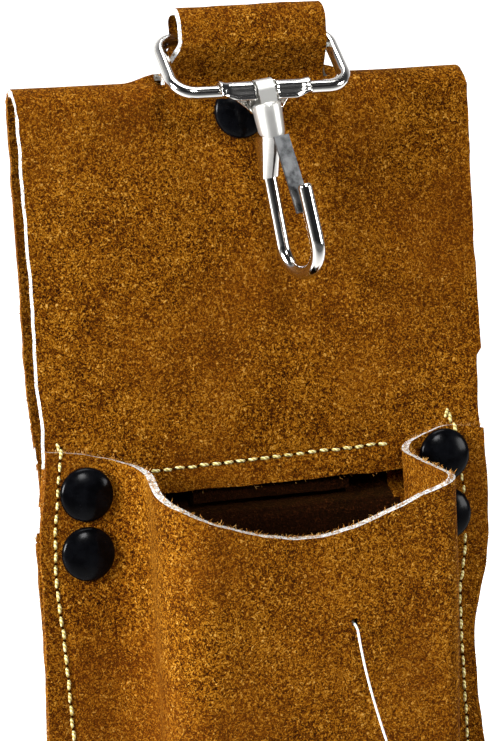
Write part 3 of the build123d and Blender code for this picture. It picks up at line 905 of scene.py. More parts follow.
@dataclass
class FrontPanel:
    """The pocket: one hide folded into two flanges, two gussets and a front."""

    finishes: Finishes
    rows: int = 112
    rims: Rims = field(default_factory=list)
    sections: dict[float, list[Vector]] = field(default_factory=dict)
    # bends: left back, left front, right front, right back
    radii: Sequence[float] = (8.0, 9.0, 3.2, 5.0)
    top_edge: Pairs = (
        (0.0, -36.8), (7.0, -37.9), (13.3, -39.2), (20.0, -41.2), (27.0, -43.4), (33.0, -45.0),
        (38.5, -46.7), (45.0, -49.4), (51.4, -52.4), (61.3, -55.9), (70.3, -57.7), (78.8, -57.9),
        (86.8, -56.4), (96.1, -53.4), (103.8, -50.9), (109.0, -49.2), (113.0, -47.9), (122.0, -46.2),
        (132.4, -44.2), (137.0, -42.9), (141.0, -41.5), (149.0, -39.6), (158.5, -40.8),
    )                                      # height of the cut edge, by distance along it from the left

    def depth(self, z: float) -> float:
        """How far the pocket's front stands off at a height."""
        return along(
            (
                (BOTTOM_Z, 0.0), (BOTTOM_Z + 8, 0.15), (BOTTOM_Z + 17, 3.6), (BOTTOM_Z + 42, 12.6),
                (BOTTOM_Z + 72, 20.6), (SEAM_Z - 55, 25.2), (
                    SEAM_Z - 6, POCKET_DEPTH
                ), (SEAM_Z + 8, POCKET_DEPTH),
            ),
            z,
        )

    def section(self, z: float) -> list[Vector]:
        """A level section through the middle of the leather.

        Args:
            z: Height of the section.

        Returns:
            Points from the left edge to the right edge, as many at every height.
        """
        deep = max(self.depth(z), 0.02)
        narrow = smooth(BOTTOM_Z + 45, BOTTOM_Z + 8, z)
        back = FOLD_BACK + narrow * 1.0
        front = mix(FOLD_FRONT - LEATHER / 2 + 0.6, 27.0, narrow)
        wide = half_width(max(z, BOTTOM_Z + 0.02))
        if wide < back + 4:
            back = wide - 4
            front = min(front, back - 2)
        sway = -1.6 * smooth(SEAM_Z - 20, SEAM_Z - 75, z)
        corners = [
            (-wide, FLANGE_MID_Y),
            (-back, FLANGE_MID_Y),
            (-front + sway, FLANGE_MID_Y - deep + LEATHER / 2),
            (front + sway, FLANGE_MID_Y - deep + LEATHER / 2),
            (back, FLANGE_MID_Y),
            (wide, FLANGE_MID_Y),
        ]
        return bent_line(corners, self.radii, 9, [12, 9, 42, 13, 12])

    def tops(self) -> list[float]:
        """Height of the panel's upper edge above each column of points."""
        reach = distances(self.section(SEAM_Z - 6))
        return [along(self.top_edge, distance * self.top_edge[-1][0] / reach[-1]) for distance in reach]

    def build(self) -> None:
        """Fold the hide, cut its mouth and give it its thickness."""
        tops = self.tops()
        count = len(tops) - 1
        floor = [
            bottom_edge(min(abs(point.x), HALF_WIDTH)) for point in self.section(BOTTOM_Z + BOTTOM_CORNER)
        ]

        def place(column: int, row: int) -> Vector:
            share = row / self.rows
            top, low = tops[column], floor[column]
            z = mix(low, top, share)
            line = self.cached(round(z, 2))
            spot = line[column]
            x, y = spot.x, spot.y
            forward = min(max((FLANGE_MID_Y - y) / 6.0, 0.0), 1.0)
            x += edge_sway(x, z) * (1 - forward)
            swell = hide_swell(x, z) * (1 - forward)
            pin = 1 - bump(PIN_X, 12, x) * bump(PIN_Z, 12, z)
            front = forward * pin * (1.0 * ripple(x, z, 48, 2.7) + 0.28 * ripple(x, z, 13, 9.2))
            seam = bump(seam_x(x, z), 1.2, x) * (1 - forward) * rivet_calm(x, z)
            y += swell + front * smooth(BOTTOM_Z, BOTTOM_Z + 40, z) + 0.35 * seam
            if column in (0, count):
                x += 0.3 * ripple(z, x, 6, 3.9) + 0.4 * ripple(z, x, 37, 2.9)
            if row == self.rows:
                z += 0.22 * ripple(x, y, 3.5, 5.7)
            if row == 0:
                z += 0.2 * ripple(x, y, 5, 6.7)
            return Vector((x, y, z))

        def trim(column: int, row: int) -> Vector:
            over_mouth = smooth(15, 24, column) * smooth(count - 14, count - 22, column)
            return Vector((0, 0, -0.33 * over_mouth)) if row == self.rows else Vector()

        panel = lay_grid(count, self.rows, place, trim)
        self.punch(panel)
        name_piece(
            panel,
            "hide_pocket_front",
            self.finishes.suede,
            self.finishes.edge,
            self.finishes.hole,
            self.finishes.inner,
        )

        def finish_of(side: str, middle: Vector, normal: Vector) -> int:
            if side == "outer":
                return 0
            if side == "inner":
                # painted shade: inner faces left of 22 mm, inside the pocket, take the near-black interior
                # suede
                return 3 if middle.y < FLANGE_MID_Y - 1.0 and middle.x < 22 else 0
            # painted shade: the cut edge round the tag pin's hole takes the dark hole finish
            if (middle - PIN).length < 4:
                return 2
            return 1 if normal.z > 0.4 else 0

        self.rims = thicken(panel, LEATHER, finish_of)
        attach(panel, "pouch")
        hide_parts("front_panel")
        wide = distances(self.section(SEAM_Z - 10))[-1]

    def cached(self, z: float) -> list[Vector]:
        """The section at a height, kept so that it is worked out once."""
        if z not in self.sections:
            self.sections[z] = self.section(z)
        return self.sections[z]

    def punch(self, panel: Piece) -> None:
        """Open the small hole that the tag's filament comes out of."""
        spots = [face.center / MM for face in panel.data.polygons]
        nearest = min(spots, key=lambda spot: (spot - PIN).length)
        drop_faces(panel, lambda middle: (middle - nearest).length < 0.05)


def seam_x(x: float, z: float) -> float:
    """Where the side seam on this side of the pouch runs at a height."""
    if x < 0:
        return -50.7 + along(LEFT_SEAM, z)
    return 44.5 + along(RIGHT_SEAM, z)


@dataclass
class HangerStrap:
    """The narrow strap: both tails go down through the slit, and its loop holds the ring."""

    finishes: Finishes
    columns: int = 24
    rims: Rims = field(default_factory=list)

    def build(self) -> None:
        """Lay the strap round the ring's upper bar."""
        half = STRAP_HIGH.x
        front, back = FACE_Y + LEATHER + STRAP_THICK / 2, FACE_Y + LEATHER + STRAP_THICK * 1.5 + 0.1
        corners = [
            (front, STRAP_LOW.z),
            (front, CROWN_Z + 0.6),
            (-9.0, CROWN_Z + 7.0),
            (-8.6, STRAP_HIGH.z - STRAP_THICK / 2),
            (-0.2, STRAP_HIGH.z - STRAP_THICK / 2),
            (0.1, CROWN_Z + 7.0),
            (back, CROWN_Z + 1.0),
            (back, STRAP_LOW.z + 0.9),
        ]
        line = bent_line(corners, [3.0, 2.4, 3.4, 3.4, 2.4, 3.0], 7, [44, 3, 4, 3, 4, 3, 44])
        normals = normals_along(line)
        rows = len(line) - 1

        def place(column: int, row: int) -> Vector:
            spot, normal = line[row], normals[row]
            free = smooth(CROWN_Z + 1, CROWN_Z + 8, spot.y)
            x = mix(-half, half, column / self.columns) * mix(1.03, 1.0, free)
            x += 2.4 * free * smooth(4, -half, x)
            lift = free * (0.35 * ripple(x, row, 14, 4.4) + 0.12 * ripple(x, row, 4, 8.8))
            if column in (0, self.columns):
                x += 0.3 * free * ripple(row, x, 5, 3.1)
            z = spot.y + normal.y * lift
            if row in (0, rows):
                z += 0.3 * ripple(x, 0, 5, 2.0)
            return Vector((x, spot.x + normal.x * lift, z))

        def trim(column: int, row: int) -> Vector:
            return Vector((0.4, 0, 0)) if column == 0 else Vector()

        strap = lay_grid(self.columns, rows, place, trim)
        name_piece(strap, "hanger_loop_strap", self.finishes.suede, self.finishes.edge, self.finishes.inner)

        def finish_of(side: str, middle: Vector, normal: Vector) -> int:
            # painted shade: the tails below the tunnel seam, hidden between the layers, take the near-black
            # interior suede
            if middle.z < SEAM_Z - 4:
                return 2
            return 1 if side == "rim" else 0

        self.rims = thicken(strap, STRAP_THICK, finish_of)
        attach(strap, "pouch")
        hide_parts("hanger_strap")
        length = distances(line)[-1]
        LOG.info("hanger strap: %.0f mm long before folding", length)


# ---- thread -----------------------------------------------------------------
@dataclass
class Stitching:
    """Lockstitched rows of waxed thread, each stitch plump in its middle and pulled in at its ends."""

    finishes: Finishes
    thread: float = 0.78                   # thickness of the thread
    pitch: float = 2.85                    # from stitch to stitch
    sink: float = 0.3                      # how deep the tunnel seam pulls the leather in

    def one(self) -> Piece:
        """Model one stitch along X, with its visible side towards -Y.

        Returns:
            The stitch, in millimetre places scaled to metres.
        """
        deselect()
        bpy.ops.mesh.primitive_uv_sphere_add(
            segments=8, ring_count=6, radius=1.0, rotation=(0, math.pi / 2, 0)
        )
        stitch = bpy.context.active_object
        settle(stitch)
        half_long = (self.pitch - 0.15) / 2
        for vertex in stitch.data.vertices:
            x, y, z = vertex.co
            slim = 1.0
            if abs(x) < 0.999:
                slim = math.sqrt(max(1 - abs(x) ** 3, 0.0)) / max(math.sqrt(max(1 - x * x, 0.0)), 1e-3)
            y *= slim * self.thread * 0.42
            z *= slim * self.thread * 0.5
            y += 0.5 * self.thread * abs(x) ** 2.5
            vertex.co = Vector((x * half_long, y, z)) * MM
        bpy.ops.object.shade_smooth()
        return stitch

    def row(self, name: str, slot_of: str, places: Stitches, pattern: Piece, seed: int) -> None:
        """Copy the stitch along a seam and join the copies.

        Args:
            name: Name of the finished row.
            slot_of: CAD node that the row stands for, or nothing.
            places: Middle, direction of the seam and outward normal of each stitch.
            pattern: The one modelled stitch.
            seed: Sets how the stitches differ.
        """
        chance = random.Random(seed)
        copies = []
        for middle, way, out in places:
            side = out.cross(way).normalized()
            tilt = Matrix.Rotation(chance.uniform(-0.1, 0.06), 4, out)
            turn = Matrix((way, -out, side)).transposed().to_4x4()
            stretch = Matrix.Diagonal(
                (chance.uniform(0.93, 1.03), chance.uniform(0.9, 1.08), chance.uniform(0.9, 1.08), 1.0)
            )
            jump = out * chance.uniform(-0.06, 0.05) + side * chance.uniform(-0.12, 0.12)
            copies.append(copied(pattern, Matrix.Translation((middle + jump) * MM) @ tilt @ turn @ stretch))
        row = name_piece(join_pieces(copies), name, self.finishes.thread)
        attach(row, "pouch")
        if slot_of:
            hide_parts(slot_of)
        LOG.info("%s: %d stitches", name, len(copies))

    def tunnel(self, pattern: Piece) -> None:
        """Sew the tunnel seam, seen in front and behind."""
        count = 20
        front, back = [], []
        slope = Vector((1, 0, -0.02)).normalized()
        for k in range(count):
            x = (k - (count - 1) / 2) * self.pitch
            front.append((Vector((x, FACE_Y + self.sink - 0.12, SEAM_Z + 0.02 * x)), slope, FORWARD))
            behind = Vector((x + self.pitch / 2, SEAM_BACK_Y + LEATHER / 2 + 0.05, SEAM_Z))
            back.append((behind, Vector((-1, 0, 0)), REARWARD))
        self.row("tunnel_seam_front", "tunnel_stitching", front, pattern, 11)
        self.row("tunnel_seam_behind", "", back, pattern, 12)
        empty = [
            Vector(
                (-4.0 + k * self.pitch, FACE_Y + self.sink - 0.05, SEAM_Z - 3.4 + 0.05 * k)
            ) for k in range(9) if k != 5
        ]
        self.holes("tunnel_needle_hole_shade", [spot - way * self.pitch / 2 for spot, way, _ in front] + empty)

    def holes(self, name: str, spots: Sequence[Vector]) -> None:
        """Set a flat dark dot at each needle hole, painted shade for the hole.

        Args:
            name: Name of the joined piece.
            spots: Places on the leather's face, in millimetres.
        """
        deselect()
        bpy.ops.mesh.primitive_uv_sphere_add(segments=8, ring_count=5, radius=0.3 * MM)
        pattern = bpy.context.active_object
        for vertex in pattern.data.vertices:
            vertex.co.y *= 0.45
            vertex.co.x *= 1.15
        copies = [copied(pattern, Matrix.Translation((spot - Vector((0, 0.1, 0))) * MM)) for spot in spots]
        bpy.data.objects.remove(pattern)
        joined = name_piece(join_pieces(copies), name, self.finishes.hole)
        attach(joined, "pouch")

    def edge_line(self, inset: float) -> Rims:
        """Middle and direction of each stitch of the seam that closes the sides and bottom.

        Args:
            inset: Distance from the pouch's edge.

        Returns:
            Places in the panel's plane, from the upper left, round the bottom, to the upper right.
        """
        top = SEAM_Z + 6.8
        low = BOTTOM_Z + inset
        line = bent_line(
            [(-50.7, top), (-50.7, low), (44.5, low), (44.5, top)], [27, 24], 40, [100, 40, 100]
        )
        for spot in line:
            spot.x += along(LEFT_SEAM if spot.x < 0 else RIGHT_SEAM, spot.y)
        reach = distances(line)
        count = round(reach[-1] / self.pitch)
        found = []
        index = 0
        for k in range(count):
            want = (k + 0.5) * reach[-1] / count
            while reach[index + 1] < want:
                index += 1
            share = (want - reach[index]) / (reach[index + 1] - reach[index])
            found.append(
                (line[index].lerp(line[index + 1], share), (line[index + 1] - line[index]).normalized())
            )
        return found

    def edges(self, pattern: Piece) -> None:
        """Sew the flanges to the back, round the sides and the bottom."""
        front, back = [], []
        for spot, way in self.edge_line(3.6):
            if any(math.hypot(spot.x - x, spot.y - z) < 6.0 for x, z in RIVETS):
                continue
            swell = hide_swell(spot.x, spot.y)
            run = Vector((way.x, 0, way.y))
            above = spot.y > SEAM_Z + (5.6 if spot.x < 0 else 3.4)
            level = FACE_Y if above else FLANGE_FACE_Y + swell
            front.append((Vector((spot.x, level + 0.12, spot.y)), run, FORWARD))
            if spot.y < SEAM_Z - 15:
                back.append((Vector((spot.x, FACE_Y + LEATHER - 0.12 + swell, spot.y)), -run, REARWARD))
        self.row("edge_seam_front", "edge_stitching", front, pattern, 21)
        self.holes("edge_needle_hole_shade", [spot - way * self.pitch / 2 for spot, way, _ in front])
        tacks = [
            (Vector((43.0, FACE_Y - 0.15, SEAM_Z + 6.2)), Vector((0.25, 0, 0.97)), FORWARD),
            (Vector((43.8, FACE_Y - 0.2, SEAM_Z + 5.0)), Vector((-0.12, 0, 0.99)), FORWARD),
            (Vector((44.3, FLANGE_FACE_Y - 0.1, SEAM_Z + 2.6)), Vector((-0.1, 0, 0.99)), FORWARD),
            (Vector((-48.8, FACE_Y - 0.2, SEAM_Z + 6.6)), Vector((-0.2, 0, 0.98)), FORWARD),
        ]
        self.row("back_tack_stitches", "", tacks, pattern, 31)
        self.row("edge_seam_behind", "", back, pattern, 22)

    def build(self) -> None:
        """Model one stitch, sew every seam with it and put it away."""
        pattern = self.one()
        self.tunnel(pattern)
        self.edges(pattern)
        bpy.data.objects.remove(pattern)


# ---- tag pin ----------------------------------------------------------------
PIN_X, PIN_Z = middle_of("tag_t_bar", 0), middle_of("tag_t_bar", 2)
PIN_FACE_Y = -31.7024                      # front face of the leather at the pin's hole
PIN = Vector((PIN_X, PIN_FACE_Y, PIN_Z))


@dataclass
class TagPin:
    """The plastic pin of a paper tag: a T-bar inside, a filament out of a hole, and its paddle."""

    finishes: Finishes
    diameter: float = 0.0005               # this, the length and the route are in metres
    length: float = 0.0515
    route: Sequence[tuple[float, float, float]] = (
        (0.0077, -0.0297024, -0.078),
        (0.0077, -0.0341024, -0.078),
        (0.0076, -0.0356024, -0.0822),
        (0.0085, -0.0360024, -0.089),
        (0.0104, -0.0359024, -0.0975),
        (0.0131, -0.0354024, -0.107),
        (0.0164, -0.0350024, -0.1165),
        (0.0193, -0.0348024, -0.124),
    )

    def build(self) -> None:
        """Draw the filament along its route."""
        line = bpy.data.curves.new("tag_pin_filament", "CURVE")
        line.dimensions = "3D"
        line.bevel_depth = self.diameter / 2
        line.bevel_resolution = 4
        line.resolution_u = 16
        line.use_fill_caps = True
        spline = line.splines.new("NURBS")
        spline.points.add(len(self.route) - 1)
        for point, place in zip(spline.points, self.route):
            point.co = (*place, 1.0)
        spline.order_u = 3
        spline.use_endpoint_u = True
        filament = bpy.data.objects.new("tag_pin_filament", line)
        bpy.context.collection.objects.link(filament)
        line.materials.append(self.finishes.nylon)
        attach(filament, "pouch")
        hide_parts("tag_filament")
        for name in ("tag_paddle", "tag_t_bar"):
            dress(name, self.finishes.nylon)
        LOG.info("tag pin: %d route points", len(self.route))


def turned(profile: Pairs, segments: int = 48) -> Piece:
    """Build a closed round piece along Z from its rings, by extruding and scaling one circle.

    Args:
        profile: Radius and height of each ring in millimetres; the last one closes to a point.
        segments: Sides of the circle.

    Returns:
        The new piece, with its base at the first ring.
    """
    deselect()
    radius, height = profile[0]
    bpy.ops.mesh.primitive_circle_add(
        vertices=segments, radius=radius * MM, fill_type="NGON", location=(0, 0, height * MM)
    )
    piece = bpy.context.active_object
    settle(piece)
    bpy.ops.object.mode_set(mode="EDIT")
    bpy.ops.mesh.select_mode(type="EDGE")
    bpy.ops.mesh.select_all(action="SELECT")
    for wide, high in profile[1:]:
        bpy.ops.mesh.extrude_edges_move(TRANSFORM_OT_translate={"value": (0, 0, (high - height) * MM)})
        share = max(wide, 0.001) / radius
        bpy.ops.transform.resize(value=(share, share, 1), center_override=(0, 0, high * MM))
        radius, height = max(wide, 0.001), high
    bpy.ops.mesh.merge(type="CENTER")
    bpy.ops.mesh.select_all(action="SELECT")
    bpy.ops.mesh.normals_make_consistent(inside=False)
    bpy.ops.object.mode_set(mode="OBJECT")
    return piece


def join_pieces(copies: Sequence[Piece]) -> Piece:
    """Join copies into one mesh."""
    deselect()
    for copy in copies:
        copy.select_set(True)
    bpy.context.view_layer.objects.active = copies[0]
    bpy.ops.object.join()
    return bpy.context.active_object


def copied(pattern: Piece, placed: Matrix) -> Piece:
    """Copy a piece with its own mesh, moved to its place."""
    copy = pattern.copy()
    copy.data = pattern.data.copy()
    bpy.context.collection.objects.link(copy)
    copy.data.transform(placed)
    return copy


@dataclass
class Fringe:
    """Loose fibres that stand off the cut edges and catch the light."""

    finishes: Finishes
    seed: int = 5
    patterns: list[Piece] = field(default_factory=list)

    def prepare(self) -> None:
        """Model three fibres, each bent a different way."""
        for bend in (0.05, 0.3, 0.55):
            fibre = turned([(0.07, 0.0), (0.065, 0.35), (0.045, 0.7), (0.0, 1.0)], segments=3)
            for vertex in fibre.data.vertices:
                vertex.co.x += bend * (vertex.co.z / MM) ** 2 * MM
            self.patterns.append(fibre)

    def grow(self, name: str, body: str, rims: Rims, count: int, reach: float) -> None:
        """Stand fibres along a cut edge.

        Args:
            name: Name of the joined piece.
            body: Body that it rides on.
            rims: Middle and normal of the edge's faces.
            count: How many fibres.
            reach: Length of a common fibre in millimetres.
        """
        chance = random.Random(f"{name}-{self.seed}")
        copies = []
        for _ in range(count):
            middle, normal = chance.choice(rims)
            stray = Vector([chance.uniform(-1, 1) for _ in range(3)])
            forward = FORWARD * chance.uniform(0.0, 0.9)
            way = (normal * chance.uniform(0.3, 1.0) + stray * 0.7 + forward).normalized()
            root = middle + Vector([chance.uniform(-0.7, 0.7) for _ in range(3)]) * 0.8 - normal * 0.15
            tall = reach * chance.uniform(0.45, 1.35) * chance.uniform(0.6, 1.1)
            turn = way.to_track_quat("Z", "X").to_matrix().to_4x4() @ Matrix.Rotation(
                chance.uniform(0, 6.3), 4, "Z"
            )
            size = Matrix.Diagonal((1.0, 1.0, tall, 1.0))
            placed = Matrix.Translation(root * MM) @ turn @ size
            copies.append(copied(chance.choice(self.patterns), placed))
        fringe = name_piece(join_pieces(copies), name, self.finishes.fibre)
        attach(fringe, body)
        LOG.info("%s: %d fibres", name, count)

    def finish(self) -> None:
        """Put the modelled fibres away."""
        for pattern in self.patterns:
            bpy.data.objects.remove(pattern)


@dataclass
class RivetCaps:
    """Pressed caps with a rolled edge, stoved black."""

    finishes: Finishes
    profile: Pairs = (
        (5.7, 0.0), (5.95, 0.1), (6.04, 0.4), (6.02, 0.8), (5.86, 1.15), (5.5, 1.45), (4.9, 1.74),
        (4.0, 2.06), (2.9, 2.34), (1.7, 2.52), (0.8, 2.59), (0.0, 2.6),
    )
    nudges: Sequence[tuple[str, float, float]] = (
        ("left_upper_rivet", -0.4, -0.5),
        ("left_lower_rivet", -1.0, 0.0),
        ("right_upper_rivet", 0.0, 0.4),
        ("right_lower_rivet", -0.4, 0.4),
        ("strap_rivet", 0.0, 0.0),
    )

    def build(self) -> None:
        """Turn one cap and seat a copy over each rivet."""
        pattern = turned(self.profile, 56)
        smooth_shade(pattern, 60)
        upright = Matrix.Rotation(math.radians(90), 4, "X")
        for rivet, across, rise in self.nudges:
            low, high = (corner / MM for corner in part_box(f"{rivet}_cap"))
            seat = FACE_Y if rivet == "strap_rivet" else FLANGE_FACE_Y
            place = Vector(((low.x + high.x) / 2 + across, seat + 0.05, (low.z + high.z) / 2 + rise))
            cap = copied(pattern, Matrix.Translation(place * MM) @ upright)
            name_piece(cap, f"{rivet}_black_cap", self.finishes.enamel)
            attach(cap, "pouch")
            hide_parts(f"{rivet}_cap")
            LOG.info("%s: cap seated", rivet)
        bpy.data.objects.remove(pattern)


@dataclass
class SwivelHead:
    """The sheet saddle that wraps the ring's lower bar, and the barrel under it."""

    finishes: Finishes
    # the middle of the ring's lower bar, and the way the hook hangs, as the CAD has them
    bar: Vector = field(default_factory=lambda: Vector((0.0, -17.2057, 38.7011)))
    hang: Vector = field(default_factory=lambda: Vector((0.130526, 0.0, -0.991445)))
    sheet: float = 0.5                     # thickness of the sheet
    half: float = 10.3                     # half of the saddle's width

    def saddle(self) -> None:
        """Wrap the sheet over the bar, flare its ends and gather its back into a skirt."""
        wrap = [(-2.75, -2.15), (-2.25, -1.5), (-1.98, -0.8), (-1.87, 0.0)]
        wrap += [
            (-1.87 * math.cos(math.radians(a)), 1.87 * math.sin(math.radians(a))) for a in range(15, 180, 15)
        ]
        rows_skirt, columns = 10, 40
        rows = len(wrap) + rows_skirt

        def place(column: int, row: int) -> Vector:
            share = column / columns * 2 - 1
            x = share * self.half
            if row < len(wrap):
                y, z = wrap[row]
                out = 1 + 0.2 * smooth(8.3, 10.3, abs(x))
                lip = smooth(3, 0, row)
                y, z = y * out, z * out
                z = mix(z, max(z, -0.7), lip * smooth(6.5, 10.0, abs(x)))
                return self.bar + Vector((x, y, z))
            t = (row - len(wrap) + 1) / (rows_skirt + 1)
            half = mix(self.half, 3.2, t**0.55)
            x = share * half
            round_y = math.sqrt(max(3.5**2 - x * x, 0.6))
            y = mix(1.87, round_y, smooth(0.0, 1.0, t))
            z = -4.6 * t - 0.5 * t * abs(share)
            return self.bar + Vector((x + 0.13 * -z * t, y, z))

        saddle = lay_grid(columns, rows, place)

        def in_notch(middle: Vector) -> bool:
            return abs(middle.x) < 2.7 and middle.y < self.bar.y - 0.4 and middle.z < self.bar.z + 1.9

        drop_faces(saddle, in_notch)
        name_piece(saddle, "yoke_sheet_saddle", self.finishes.bright)
        modify(saddle, "SOLIDIFY", thickness=self.sheet * MM, offset=0.0, use_even_offset=True)
        modify(
            saddle, "BEVEL", width=0.12 * MM, segments=2, limit_method="ANGLE", angle_limit=math.radians(50)
        )
        smooth_shade(saddle, 55)
        saddle.data.attributes.remove(saddle.data.attributes["trim"])
        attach(saddle, "yoke")
        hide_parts("yoke")
        LOG.info("yoke: sheet saddle")

    def barrel(self) -> None:
        """Turn the barrel, with a rounded shoulder and a lower edge cut slightly aslant."""
        profile = [
            (1.9, 2.75), (2.5, 2.8), (2.9, 2.95), (3.13, 3.25), (3.2, 3.7), (3.18, 5.0), (3.1, 6.6),
            (2.98, 8.2), (2.92, 9.1), (2.8, 9.5), (2.6, 9.62), (2.3, 9.55), (2.2, 9.1), (0.0, 9.05),
        ]
        barrel = turned(profile, 56)
        for vertex in barrel.data.vertices:
            vertex.co.z -= 0.42 * vertex.co.x * smooth(4.5, 9.0, vertex.co.z / MM)
        turn = self.hang.to_track_quat("Z", "Y").to_matrix().to_4x4()
        right = turn @ Vector((1, 0, 0))
        if right.x < 0:
            turn = turn @ Matrix.Rotation(math.pi, 4, "Z")
        barrel.data.transform(Matrix.Translation(self.bar * MM) @ turn)
        name_piece(barrel, "swivel_barrel", self.finishes.satin)
        smooth_shade(barrel, 45)
        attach(barrel, "yoke")
        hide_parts("ferrule")
        LOG.info("yoke: swivel barrel")

    def build(self) -> None:
        """Build both pieces of the yoke."""
        self.saddle()
        self.barrel()


def dress(node: str, finish: Material) -> None:
    """Give a carried-over CAD node its finish in every slot."""
    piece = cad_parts[node]
    if not piece.data.materials:
        piece.data.materials.append(finish)
    for slot in piece.material_slots:
        slot.material = finish
    piece.data.shade_smooth()
    LOG.info("%s: %s", node, finish.name)


@dataclass
class Hardware:
    """Burrs, ring and hook, whose CAD shapes are right as they are."""

    finishes: Finishes

    def build(self) -> None:
        """Give each metal node its finish."""
        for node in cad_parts:
            if node.endswith("_burr"):
                dress(node, self.finishes.dull)
        for node in ("ring", "hook_wire", "hook_head"):
            dress(node, self.finishes.bright)
        for node in ("swivel_tongue", "swivel_stud"):
            dress(node, self.finishes.satin)
        dress("gate_spring", self.finishes.rolled)


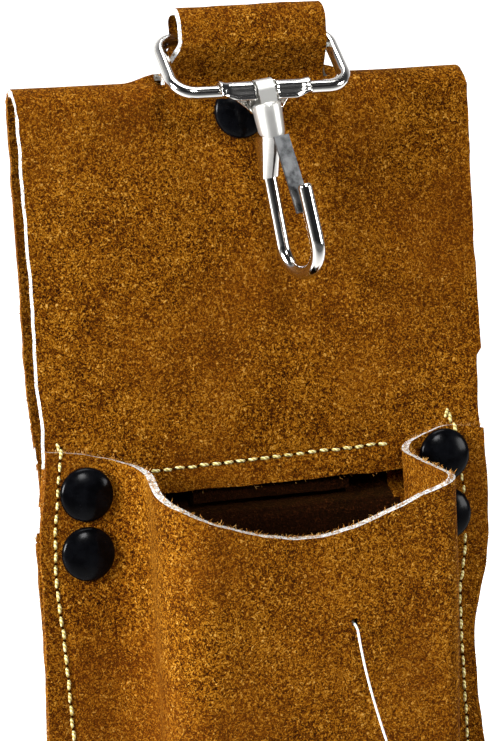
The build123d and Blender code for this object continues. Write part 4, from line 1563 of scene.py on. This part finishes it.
# ---- studio -----------------------------------------------------------------
@dataclass
class Studio:
    """Floor that curves up behind, with painted shade in front and a painted glow behind, soft boxes, and
    the camera.
    """

    azimuth: float = 18.36                 # degrees that the camera looks towards +X from +Y
    elevation: float = 5.84
    roll: float = 3.76
    distance: float = 0.622
    lens: float = 134.17
    shift_x: float = -0.035
    shift_y: float = 0.117

    def camera(self) -> None:
        """Set the camera up: it looks slightly down, from a little to the left."""
        a, e, r = (math.radians(value) for value in (self.azimuth, self.elevation, self.roll))
        ahead = Vector((math.sin(a) * math.cos(e), math.cos(a) * math.cos(e), -math.sin(e)))
        right = Vector((math.cos(a), -math.sin(a), 0.0))
        up = right.cross(ahead)
        rolled_right = right * math.cos(r) - up * math.sin(r)
        rolled_up = right * math.sin(r) + up * math.cos(r)
        data = bpy.data.cameras.new("front_camera")
        data.lens = self.lens
        data.sensor_width = 36.0
        data.shift_x = self.shift_x
        data.shift_y = self.shift_y
        data.clip_start = 0.01
        camera = bpy.data.objects.new("front_camera", data)
        bpy.context.collection.objects.link(camera)
        aim = Vector((0, FACE_Y * MM, SEAM_Z * MM))
        turn = Matrix((rolled_right, rolled_up, -ahead)).transposed().to_4x4()
        camera.matrix_world = Matrix.Translation(aim - ahead * self.distance) @ turn
        bpy.context.scene.camera = camera

    def lamp(self, name: str, place: tuple[float, float, float], size: float, power: float) -> None:
        """Hang one square soft box aimed at the pouch.

        Args:
            name: Name of the lamp.
            place: Where it hangs, in metres.
            size: Its side, in metres.
            power: Its power in watts.
        """
        data = bpy.data.lights.new(name, "AREA")
        data.shape = "SQUARE"
        data.size = size
        data.energy = power
        lamp = bpy.data.objects.new(name, data)
        bpy.context.collection.objects.link(lamp)
        lamp.location = place
        aim = Vector((0, 0, -0.06)) - Vector(place)
        lamp.rotation_euler = aim.to_track_quat("-Z", "Y").to_euler()

    def floor(self) -> None:
        """Lay the sweep: a floor just under the pouch that curves up behind it, with painted shade towards
        the camera and a painted glow towards the back.
        """
        tree, shader = new_shader("painted_glow_backdrop")
        place = add_node(tree, "ShaderNodeTexCoord").outputs["Object"]
        depth = add_node(tree, "ShaderNodeSeparateXYZ", {"Vector": place}).outputs["Y"]
        lit = add_node(tree, "ShaderNodeMapRange", {0: depth, 1: -0.4, 2: 0.2}).outputs[0]
        # painted shade and painted glow: colour and emission both fall off from behind the pouch towards the
        # camera
        tree.links.new(ramp(tree, lit, [(0.0, "2a2a2c"), (1.0, "fcfcfc")]), shader["Base Color"])
        tree.links.new(ramp(tree, lit, [(0.2, "000000"), (1.0, "ffffff")]), shader["Emission Color"])
        shader["Roughness"].default_value = 0.9
        shader["Emission Strength"].default_value = 0.7
        line = bent_line(
            [(-2.5, BOTTOM_Z * MM - 0.002), (2.2, BOTTOM_Z * MM - 0.002), (2.2, 2.6)], [1.2], 24, [12, 8]
        )
        deselect()
        bpy.ops.mesh.primitive_grid_add(
            x_subdivisions=4, y_subdivisions=len(line) - 1, size=1.0, location=(0, 0, 0)
        )
        sweep = bpy.context.active_object
        for vertex in sweep.data.vertices:
            spot = line[round((vertex.co.y + 0.5) * (len(line) - 1))]
            vertex.co = Vector((vertex.co.x * 6.0, spot.x, spot.y))
        name_piece(sweep, "backdrop_sweep", bpy.data.materials["painted_glow_backdrop"])
        bpy.ops.object.shade_smooth()

    def build(self) -> None:
        """Light the scene and lay the floor."""
        world = bpy.data.worlds.new("studio")
        bpy.context.scene.world = world
        world.use_nodes = True
        tree = world.node_tree
        background = next(node for node in tree.nodes if node.type == "BACKGROUND")
        ways = add_node(tree, "ShaderNodeTexCoord").outputs["Generated"]
        behind = add_node(tree, "ShaderNodeSeparateXYZ", {"Vector": ways}).outputs["Y"]
        share = add_node(tree, "ShaderNodeMapRange", {0: behind, 1: -1.0, 2: 1.0}).outputs[0]
        shades = ramp(tree, share, [(0.1, "1c1c1e"), (0.5, "3a3a3c"), (0.66, "b4b4b6"), (0.85, "ffffff")])
        tree.links.new(shades, background.inputs["Color"])
        background.inputs["Strength"].default_value = 1.0
        self.lamp("key_softbox", (-1.4, -0.4, 0.4), 0.5, 56.0)
        self.lamp("front_fill", (0.1, -1.5, 0.9), 0.35, 14.0)
        self.lamp("right_fill", (1.1, -0.7, 0.2), 0.45, 9.0)
        self.lamp("top_softbox", (0.1, -0.2, 1.1), 0.6, 8.0)
        self.floor()
        bpy.context.scene.view_settings.view_transform = "Standard"


def main() -> None:
    """Build the pouch in order: camera and tag first, then leather, thread and metal."""
    logging.basicConfig(level=logging.INFO, format="%(name)s: %(message)s")
    studio = Studio()
    studio.camera()
    finishes = Finishes()
    TagPin(finishes).build()
    back = BackPanel(finishes)
    back.build()
    front = FrontPanel(finishes)
    front.build()
    strap = HangerStrap(finishes)
    strap.build()
    Stitching(finishes).build()
    fringe = Fringe(finishes)
    fringe.prepare()
    mouth = [rim for rim in front.rims if rim[1].z > 0.4 and rim[0].z > SEAM_Z - 40]
    fringe.grow("mouth_fibres", "pouch", mouth, 1100, 1.1)
    fringe.grow("side_edge_fibres", "pouch", [rim for rim in front.rims if abs(rim[1].x) > 0.6], 500, 0.9)
    fringe.grow("front_layer_fibres", "pouch", [rim for rim in back.rims if rim[0].y < -1], 700, 0.8)
    fringe.grow("tunnel_layer_fibres", "pouch", [rim for rim in back.rims if rim[0].y > -1], 450, 0.8)
    clear = [rim for rim in strap.rims if rim[0].z > CROWN_Z and rim[0].z < CROWN_Z + 4]
    fringe.grow("strap_fibres", "pouch", clear, 60, 0.5)
    fringe.finish()
    RivetCaps(finishes).build()
    SwivelHead(finishes).build()
    Hardware(finishes).build()
    studio.build()


if __name__ == "__main__":
    main()
